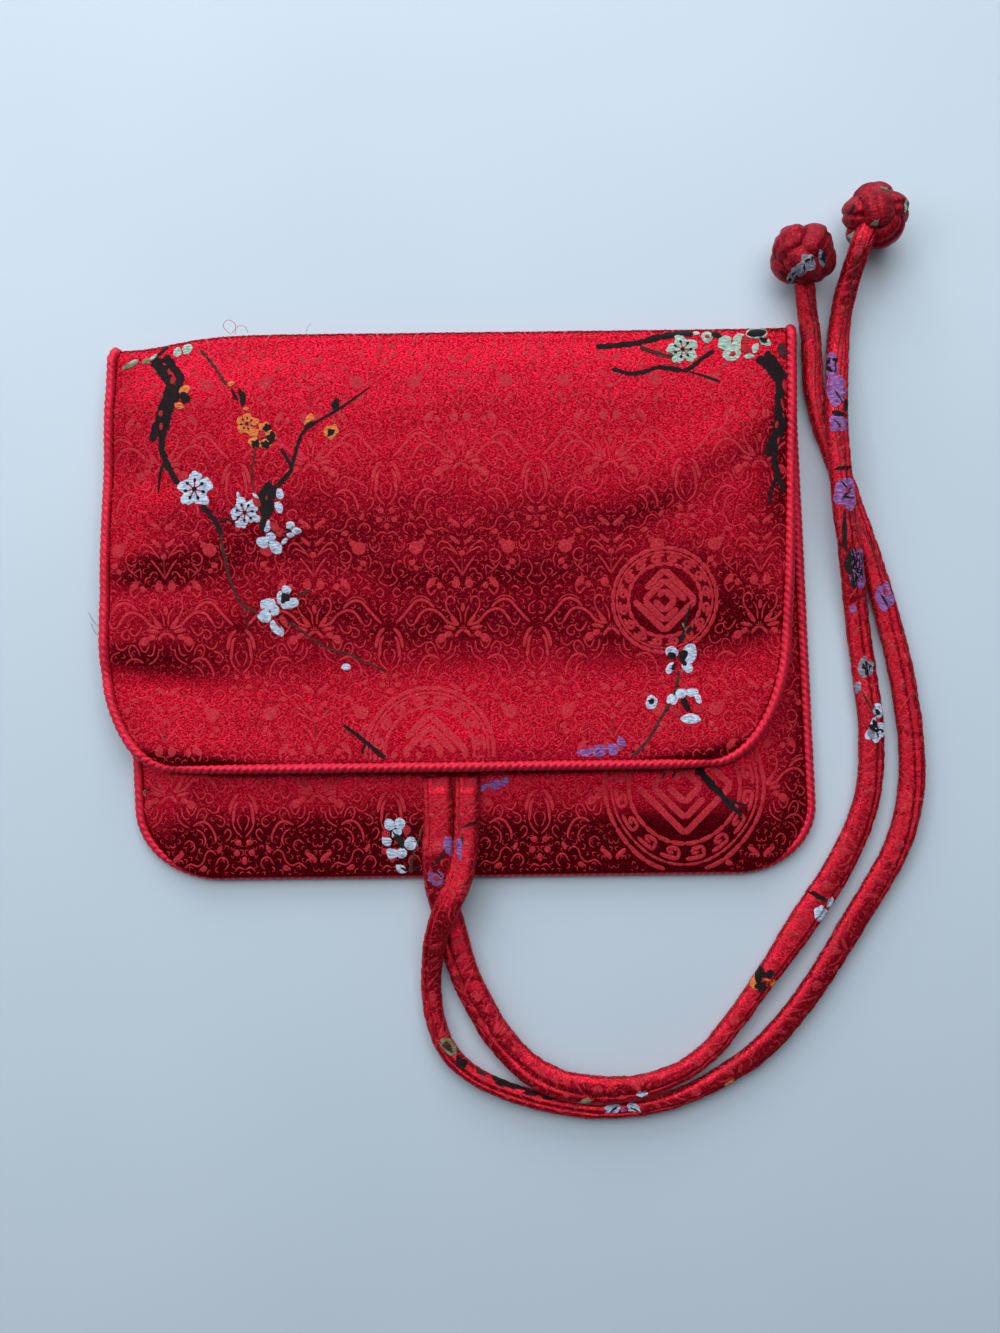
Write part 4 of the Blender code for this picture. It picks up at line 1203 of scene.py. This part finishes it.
# round petals that touch, and stamens that fan out from the middle
def layBlossom(work, place, middle, thread, size, turn, seed):
    cx, cy = middle
    lift, crown = sprays["lift"], sprays["crown"]
    slot = threadOrder.index(thread)

    def disc(share, count, uneven=0.0):
        return oval(cx, cy, size * share, size * share, 0, count, uneven, seed if uneven else 0.0)
    for i in range(blossom["petals"]):
        step = turn + i * 360 / blossom["petals"]
        a = math.radians(step)
        r = size * (blossom["petalOut"] + 0.03 * noise.noise(Vector((i * 2.3, seed, 0))))
        wide = size * (blossom["petalWide"] + 0.035 * noise.noise(Vector((seed, i * 1.9, 4))))
        petal = oval(cx + r * math.cos(a), cy + r * math.sin(a), size * blossom["petalLong"], wide, step,
                     18, 0.55, seed + i)
        layShape(work, place, petal, lift + 0.00003 + i * sprays["layer"], crown, slot)
    layShape(work, place, disc(blossom["middle"], 12), lift + 0.00009, crown * 0.6, slot)
    dark, warm = threadOrder.index("black"), threadOrder.index("red")
    for i in range(blossom["stamens"]):
        a = math.radians(turn + 20 + i * 360 / blossom["stamens"])
        reach = size * blossom["stamenLong"]
        tip = (cx + reach * math.cos(a), cy + reach * math.sin(a))
        layRibbon(work, place, [(cx, cy), ((cx + tip[0]) / 2, (cy + tip[1]) / 2), tip],
                  size * blossom["stamenWide"], lift + 0.00022, 0.00004, warm, step=sprays["step"])
        spot = oval(*tip, size * blossom["tipLong"], size * blossom["tipWide"], math.degrees(a), 10, 0.3, seed + i)
        layShape(work, place, spot, lift + 0.00024, 0.00005, dark)
    layShape(work, place, disc(blossom["eye"], 10, 0.3), lift + 0.00026, 0.00005, dark)


# a finished set of threads, laid on the bag
def addFigure(work, name):
    piece = finishWork(work, name, threadList)
    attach(piece, "root")


addFigure(sprayWork(onLong, readHeight["flapSprays"], flapBranches, flapPatches, flapBlossoms),
          "flapSprays")
addFigure(sprayWork(onPocket, readHeight["pocket"], pocketBranches, pocketPatches, ()), "pocketSprays")
print("sprays brocaded")

# the same cloth on the ties and knots: bits of blossoms, as the sprays' patches are given
tiePatches = {
    "left": (
        ("purple", 829, 367, 8, 11, 0, 0.3), ("black", 829, 366, 7, 8, 0, 0.4),
        ("purple", 830, 367, 3, 5, 0, 0.6), ("purple", 834, 393, 8.5, 17, 0, 0.35),
        ("black", 843, 408, 3, 6, 0, 0.3), ("black", 834, 400, 1.2, 7, 30, 0.5),
        ("purple", 833, 428, 9, 8, 0, 0.35), ("black", 834, 418, 9, 2.8, -12, 0.3),
        ("black", 832, 428, 1, 5, 40, 0.5), ("black", 838, 471, 11, 1.7, 8, 0.2),
        ("purple", 841, 495, 11, 17, 5, 0.3), ("black", 840, 490, 1, 8, 40, 0.4),
        ("black", 841, 496, 1, 8, -40, 0.4), ("black", 842, 500, 6, 1, 0, 0.4),
        ("red", 841, 494, 2.2, 2.4, 0, 0.4), ("black", 839, 534, 2.6, 18, 4, 0.5),
        ("purple", 853, 570, 11, 24, 6, 0.3), ("black", 852, 569, 8.5, 19, 6, 0.45),
        ("purple", 853, 566, 4, 1.2, 50, 0.4), ("purple", 853, 574, 5, 1.2, -40, 0.4),
        ("purple", 852, 609, 3, 4, 0, 0.3), ("grey", 865, 668, 7.5, 9.5, 0, 0.35),
        ("black", 866, 668, 4.4, 6.6, 10, 0.5), ("grey", 858, 687, 3, 6, 0, 0.3),
        ("brown", 866, 700, 1.1, 10, 25, 0.3), ("white", 877, 711, 4.6, 7, 10, 0.3),
        ("black", 877, 712, 2.4, 4.4, 10, 0.4), ("white", 875, 732, 9, 13, -8, 0.4),
        ("grey", 870, 733, 3.4, 6, 0, 0.4), ("black", 876, 729, 5, 8.5, 20, 0.6),
        ("black", 818, 896, 11, 2.6, -28, 0.3), ("white", 830, 902, 3.2, 5.6, -20, 0.3),
        ("white", 820, 913, 7, 7.5, 0, 0.3), ("black", 821, 909, 3.4, 1.2, -50, 0.4),
        ("orange", 754, 979, 5, 9, 14, 0.4), ("orange", 773, 983, 5, 4.6, 0, 0.4),
        ("black", 761, 972, 6, 5, 0, 0.4), ("black", 770, 973, 4.6, 4.2, 0, 0.4),
        ("black", 761, 986, 5.6, 6, 0, 0.4), ("black", 758, 979, 3, 4.4, 0, 0.3),
        ("orange", 767, 979, 3, 1, -10, 0.4), ("purple", 450, 843, 5, 10, 10, 0.35),
        ("black", 441, 855, 10, 1.3, 52, 0.3), ("purple", 437, 876, 8.5, 8, 0, 0.35),
        ("red", 437, 876, 3.6, 3, 0, 0.3), ("black", 438, 870, 1, 6, 40, 0.4),
        ("white", 641, 1090, 5, 3.4, 10, 0.3), ("olive", 584, 1098, 8, 2, 10, 0.5),
        ("olive", 868, 240, 4.4, 2, 20, 0.3), ("mint", 858, 231, 6, 3.4, 20, 0.4),
    ),
    "right": (
        ("black", 471, 822, 9, 1.3, 20, 0.2), ("purple", 460, 845, 3.4, 11, 0, 0.35),
        ("brown", 463, 836, 1, 6, 0, 0.3), ("olive", 449, 1047, 10, 6, -50, 0.3),
        ("brown", 448, 1046, 6, 3, -50, 0.4), ("black", 461, 1062, 8, 4, -50, 0.4),
        ("brown", 480, 1072, 5, 1.4, -30, 0.3), ("black", 505, 1083, 17, 3.2, -22, 0.4),
        ("mint", 518, 1076, 4.6, 3, 0, 0.3), ("black", 530, 1093, 8, 1.8, -10, 0.3),
        ("mint", 537, 1084, 4, 2.4, 0, 0.3), ("black", 548, 1098, 7, 1.2, -12, 0.4),
        ("white", 612, 1108, 7.5, 4.6, 10, 0.5), ("white", 634, 1107, 7.5, 4.6, -10, 0.5),
        ("purple", 623, 1109, 3, 2, 0, 0.3), ("black", 613, 1109, 4.5, 1, 30, 0.4),
        ("black", 633, 1108, 4.5, 1, -20, 0.4), ("orange", 730, 1083, 4.6, 3, 30, 0.5),
        ("black", 732, 1085, 3, 1.6, 30, 0.4), ("purple", 885, 597, 9, 15, 10, 0.35),
        ("red", 885, 592, 3, 4, 10, 0.4), ("black", 884, 601, 1, 7, 30, 0.4),
    ),
}
knotPatches = {
    "right": (
        ("grey", 796, 271, 5, 4, 30, 0.3), ("grey", 801, 268, 6.5, 5.5, 30, 0.3),
        ("grey", 807, 263, 8.5, 7.5, 30, 0.3), ("black", 795, 272, 2.4, 1.3, 40, 0.5),
        ("black", 799, 275, 1.6, 2.4, 0, 0.5), ("black", 804, 268, 1.3, 2.6, 20, 0.5),
        ("black", 806, 262, 2.6, 1.3, 30, 0.5), ("black", 811, 260, 1.2, 2.6, 0, 0.5),
        ("black", 786, 268, 4, 1.3, -50, 0.4), ("grey", 822, 258, 4.6, 7, 10, 0.3),
        ("black", 824, 256, 2.6, 4.6, 14, 0.4),
    ),
    "left": (
        ("black", 860, 223, 6, 3.4, 20, 0.4), ("mint", 857, 229, 7, 3.6, 25, 0.4),
        ("olive", 875, 223, 4, 2, 20, 0.3), ("black", 872, 228, 5, 3, 40, 0.4),
        ("olive", 887, 187, 6, 2, -10, 0.4), ("mint", 907, 204, 2, 6.5, -8, 0.3),
        ("black", 854, 207, 1.4, 4, -20, 0.3),
    ),
}
# how those bits are laid on the ties and knots, in metres, and the dark lines of painted shade along a tie's seam
dressing = {
    "lift": 0.00013, "layer": 0.00003, "crown": 0.00003, "shares": (0.25, 0.5, 0.75, 1.0),
    "seamShadeLines": (-0.0005, 0.0006),
}


# a place on a tie: x round it from its top, y along it, both in metres
def onTie(side):
    frames, tie = tieParts[side]["frames"], ties[side]

    def place(x, t, lift):
        if abs(x) > tieCloth["reachRound"] or t < 0.002 or t > frames[-1][5] - 0.001:
            return None
        at = t / frames[-1][5] * (len(frames) - 1)
        k = min(int(at), len(frames) - 2)
        angle = math.pi / 2 - x / tieCloth["skinRadius"]
        a, b = tieSkin(frames, tie, k, angle, lift), tieSkin(frames, tie, k + 1, angle, lift)
        return a.lerp(b, at - k)
    return place


# a piece as seen from above: a place in the view, in metres, dropped onto its skin
def dropOn(piece):
    mesh = piece.data
    skin = BVHTree.FromPolygons([v.co for v in mesh.vertices], [tuple(f.vertices) for f in mesh.polygons])

    def place(x, t, lift):
        spot, face, index, far = skin.ray_cast(Vector((x, -t, 0.1)), Vector((0, 0, -1)))
        if spot is None or abs(face.z) < 0.05:
            return None
        return spot + face * (lift if face.z > 0 else -lift)
    return place


# patches that lie close together are laid over each other, each a little higher
def layPatches(work, place, patches, height):
    unit = damask["pixel"]
    layer, last = 0, (0, 0)
    for n, (thread, px, py, rx, ry, turn, uneven) in enumerate(patches):
        layer = layer + 1 if math.hypot(px - last[0], py - last[1]) < 26 else 0
        last = (px, py)
        x, y = fromAbove(px, py, height)
        outline = oval(x, y, rx * unit, ry * unit, turn, 24, uneven * 1.5, n * 3.1)
        layShape(work, place, outline, dressing["lift"] + layer * dressing["layer"], dressing["crown"],
                 threadOrder.index(thread), dressing["shares"], True)


def dressTie(side):
    part = tieParts[side]
    total = part["length"]
    work = newWork()
    layDamask(work, onTie(side), -total, 0.0, (), (0, 1))
    figure = finishWork(work, side + "TieDamask", [finishes["figure"]])
    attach(figure, "root")
    work = newWork()
    layPatches(work, dropOn(part["tube"]), tiePatches[side], readHeight["tie"])
    # painted shade: two thin dark brown lines along the seam, standing in for the shadow beside its ridge
    for x in dressing["seamShadeLines"]:         # they show on the last stretch, before the knot
        line = [(x + 0.0009 * math.sin(k * 0.35), -(total - 0.004 - k * 0.004)) for k in range(24)]
        layRibbon(work, onTie(side), line, (0.0003, 0.0002), 0.00008, 0.00002, threadOrder.index("brown"))
    addFigure(work, side + "TieBlossoms")
    work = newWork()
    layPatches(work, dropOn(part["knot"]), knotPatches[side], readHeight["knot"])
    addFigure(work, side + "KnotBlossoms")


for side in ("left", "right"):
    dressTie(side)
print("ties and knots dressed")

# the twisted cord in the seam
seamCord = {
    "radius": 0.00162, "groove": 0.34, "strands": 3, "lay": 0.0066, "step": 0.00038, "sides": 18,
    "sunk": 0.0003,         # how far it lies in over the cloth's edge
    "pocketLift": 0.00065,  # it lies a little higher where the pocket's front is sewn in too
}


# once round the edge of the long panel
def cordPath():
    last, columns = len(outerRows) - 1, cloth["columns"]
    spots = [(0, i) for i in range(columns + 1)] + [(j, columns) for j in range(1, last)]
    spots += [(last, i) for i in range(columns, -1, -1)] + [(j, 0) for j in range(last - 1, 0, -1)]
    thin = [spots[0]]
    for j, i in spots[1:]:
        a, b = thin[-1]
        if (outerRows[j][i] - outerRows[a][b]).length > 0.0018:
            thin.append((j, i))
    edge = [outerRows[j][i] for j, i in thin]
    out = []
    for k, (j, i) in enumerate(thin):
        along = wayAt(edge, k, closed=True)
        away = faceOf(longPanel, *outerFlats[j][i]).cross(along).normalized()
        spot = edge[k] + away * (seamCord["radius"] - seamCord["sunk"])
        if outerFlats[j][i][1] < -arcHalf:
            spot.z += seamCord["pocketLift"] * min(1, max(0, (foldCentreY - spot.y) / bag["mouthDrop"]))
        spot.z = max(spot.z, seamCord["radius"] + 0.00005)
        out.append(spot)
    return out


def makeCord():
    line = smoothLine(cordPath(), seamCord["step"], closed=True)
    count = len(line)
    total = sum((line[i] - line[i - 1]).length for i in range(count))
    turns = -round(total / seamCord["lay"])
    side = None
    frames = []
    for i, point in enumerate(line):
        along = wayAt(line, i, closed=True)
        if side is None:
            side = along.cross(Vector((0, 0, 1))).normalized()
        side = (side - side.dot(along) * along).normalized()
        frames.append((point, side, along.cross(side)))
    # the frame comes back turned by a little: share that out along the loop
    first, lastSide = frames[0], frames[-1][1]
    slip = math.atan2(lastSide.dot(first[2]), lastSide.dot(first[1]))
    work = newWork()
    n = seamCord["sides"]
    for i, (point, a, b) in enumerate(frames):
        gone = total * i / count
        lead = 2 * math.pi * turns * i / count
        worn = 1 + 0.05 * noise.noise(Vector((gone * 160, 1.5, 2)))
        for j in range(n):
            turn = 2 * math.pi * j / n
            lobe = abs(math.cos(seamCord["strands"] * (turn - lead) / 2)) ** 0.55
            radius = seamCord["radius"] * worn * (1 - seamCord["groove"] * (1 - lobe))
            at = turn - slip * i / count
            work["points"].append(tuple(point + (a * math.cos(at) + b * math.sin(at)) * radius))
            work["flat"].append(((turn - lead) * 0.0016, gone))
    joinRings(work, count, n, closed=True)
    return finishWork(work, "twistedSeamCord", [finishes["cord"]])


cordPiece = makeCord()
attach(cordPiece, "root")
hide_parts("seam_cord")
print("seam cord made")


# threads that have come loose at the seam and the fold: colour, thickness, then places x, y, z in mm
looseThreads = (
    ("red", 0.16, (-66.5, 80.6, 5.0), (-68.3, 82.6, 6.2), (-66.9, 84.3, 7.0), (-64.7, 83.2, 6.6), (-65.0, 80.6, 5.2)),
    ("red", 0.14, (-66.0, 80.7, 5.6), (-64.0, 82.4, 6.6), (-62.0, 82.6, 6.0), (-61.2, 80.9, 5.0)),
    ("red", 0.12, (-44.0, 80.7, 5.6), (-43.2, 82.4, 6.0), (-42.4, 83.4, 5.4)),
    ("grey", 0.12, (-104.0, -8.0, 4.4), (-107.2, -6.0, 1.2), (-109.6, -3.6, 0.2), (-111.0, -1.2, 0.15)),
    ("grey", 0.12, (-104.4, -9.4, 4.0), (-107.0, -8.4, 1.0), (-109.0, -7.2, 0.2), (-110.4, -4.4, 0.15)),
    ("grey", 0.10, (98.9, 55.6, 5.4), (100.5, 56.8, 6.6), (102.4, 57.4, 4.2)),
    ("red", 0.12, (-104.6, 7.0, 5.0), (-105.9, 8.6, 6.0), (-105.2, 10.0, 5.6)),
)
looseSides = 6
looseStep = 0.0004


def makeLoose():
    work = newWork()
    n = looseSides
    for colour, thick, *path in looseThreads:
        line = smoothLine([Vector(p) / 1000 for p in path], looseStep)
        start = len(work["points"])
        for k, point in enumerate(line):
            along = wayAt(line, k)
            side = along.cross(Vector((0, 0.2, 1))).normalized()
            up = side.cross(along)
            for j in range(n):
                a = 2 * math.pi * j / n
                work["points"].append(tuple(point + (side * math.cos(a) + up * math.sin(a)) * thick / 2000))
                work["flat"].append((j * 0.0001, k * looseStep))
        joinRings(work, len(line), n, start)
        work["slots"] += [0 if colour == "red" else 1] * ((len(line) - 1) * n)
    return finishWork(work, "looseThreads", [finishes["cord"], threads["grey"]])


loosePiece = makeLoose()
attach(loosePiece, "root")
print("loose threads laid")

# the pale table, with a faint cloudy tone, and the room round it
table = {
    "size": 4, "drop": 0.0002, "cloud": 7.0, "rough": 0.6,
    "colours": ((0.3, (0.495, 0.588, 0.676)), (0.7, (0.525, 0.618, 0.706))),
}
room = {"colour": (0.86, 0.92, 1.0), "strength": 0.115}


def addFloor():
    bpy.ops.mesh.primitive_plane_add(size=table["size"], location=(0, 0, -table["drop"]))
    floor = bpy.context.object
    floor.name = "paleTable"
    material, tree, shader = nodesOf("paleTable")
    spot = addNode(tree, "ShaderNodeTexCoord")
    soft = addNode(tree, "ShaderNodeTexNoise", Scale=table["cloud"], Detail=2.0)
    tree.links.new(spot.outputs["Object"], soft.inputs["Vector"])
    colour = ramp(tree, soft.outputs["Fac"], table["colours"])
    tree.links.new(colour, shader.inputs["Base Color"])
    shader.inputs["Roughness"].default_value = table["rough"]
    floor.data.materials.append(material)


lights = {
    # place, size, power, colour, and where it points
    "window": ((-0.15, 0.72, 1.0), (1.8, 1.1), 17.0, (0.95, 0.98, 1.0), (-0.15, 0.72, 0)),
    "sill": ((-0.2, 1.75, 0.72), (1.9, 0.8), 26.0, (0.95, 0.98, 1.0), (0, 0.05, 0)),
    "room": ((-1.3, 0.2, 0.8), (0.8, 1.2), 6.0, (0.96, 0.98, 1.0), (0, 0, 0)),
}


def addLights():
    for name, (place, size, power, colour, target) in lights.items():
        data = bpy.data.lights.new(name, "AREA")
        data.shape = "RECTANGLE"
        data.size, data.size_y = size
        data.energy = power
        data.color = colour
        obj = bpy.data.objects.new(name, data)
        obj.location = place
        obj.rotation_euler = (Vector(target) - Vector(place)).to_track_quat("-Z", "Y").to_euler()
        scene.collection.objects.link(obj)
    world = bpy.data.worlds.new("paleRoom")
    world.use_nodes = True
    back = world.node_tree.nodes["Background"]
    back.inputs["Color"].default_value = (*room["colour"], 1)
    back.inputs["Strength"].default_value = room["strength"]
    scene.world = world


addFloor()
addLights()
print("table and light set")
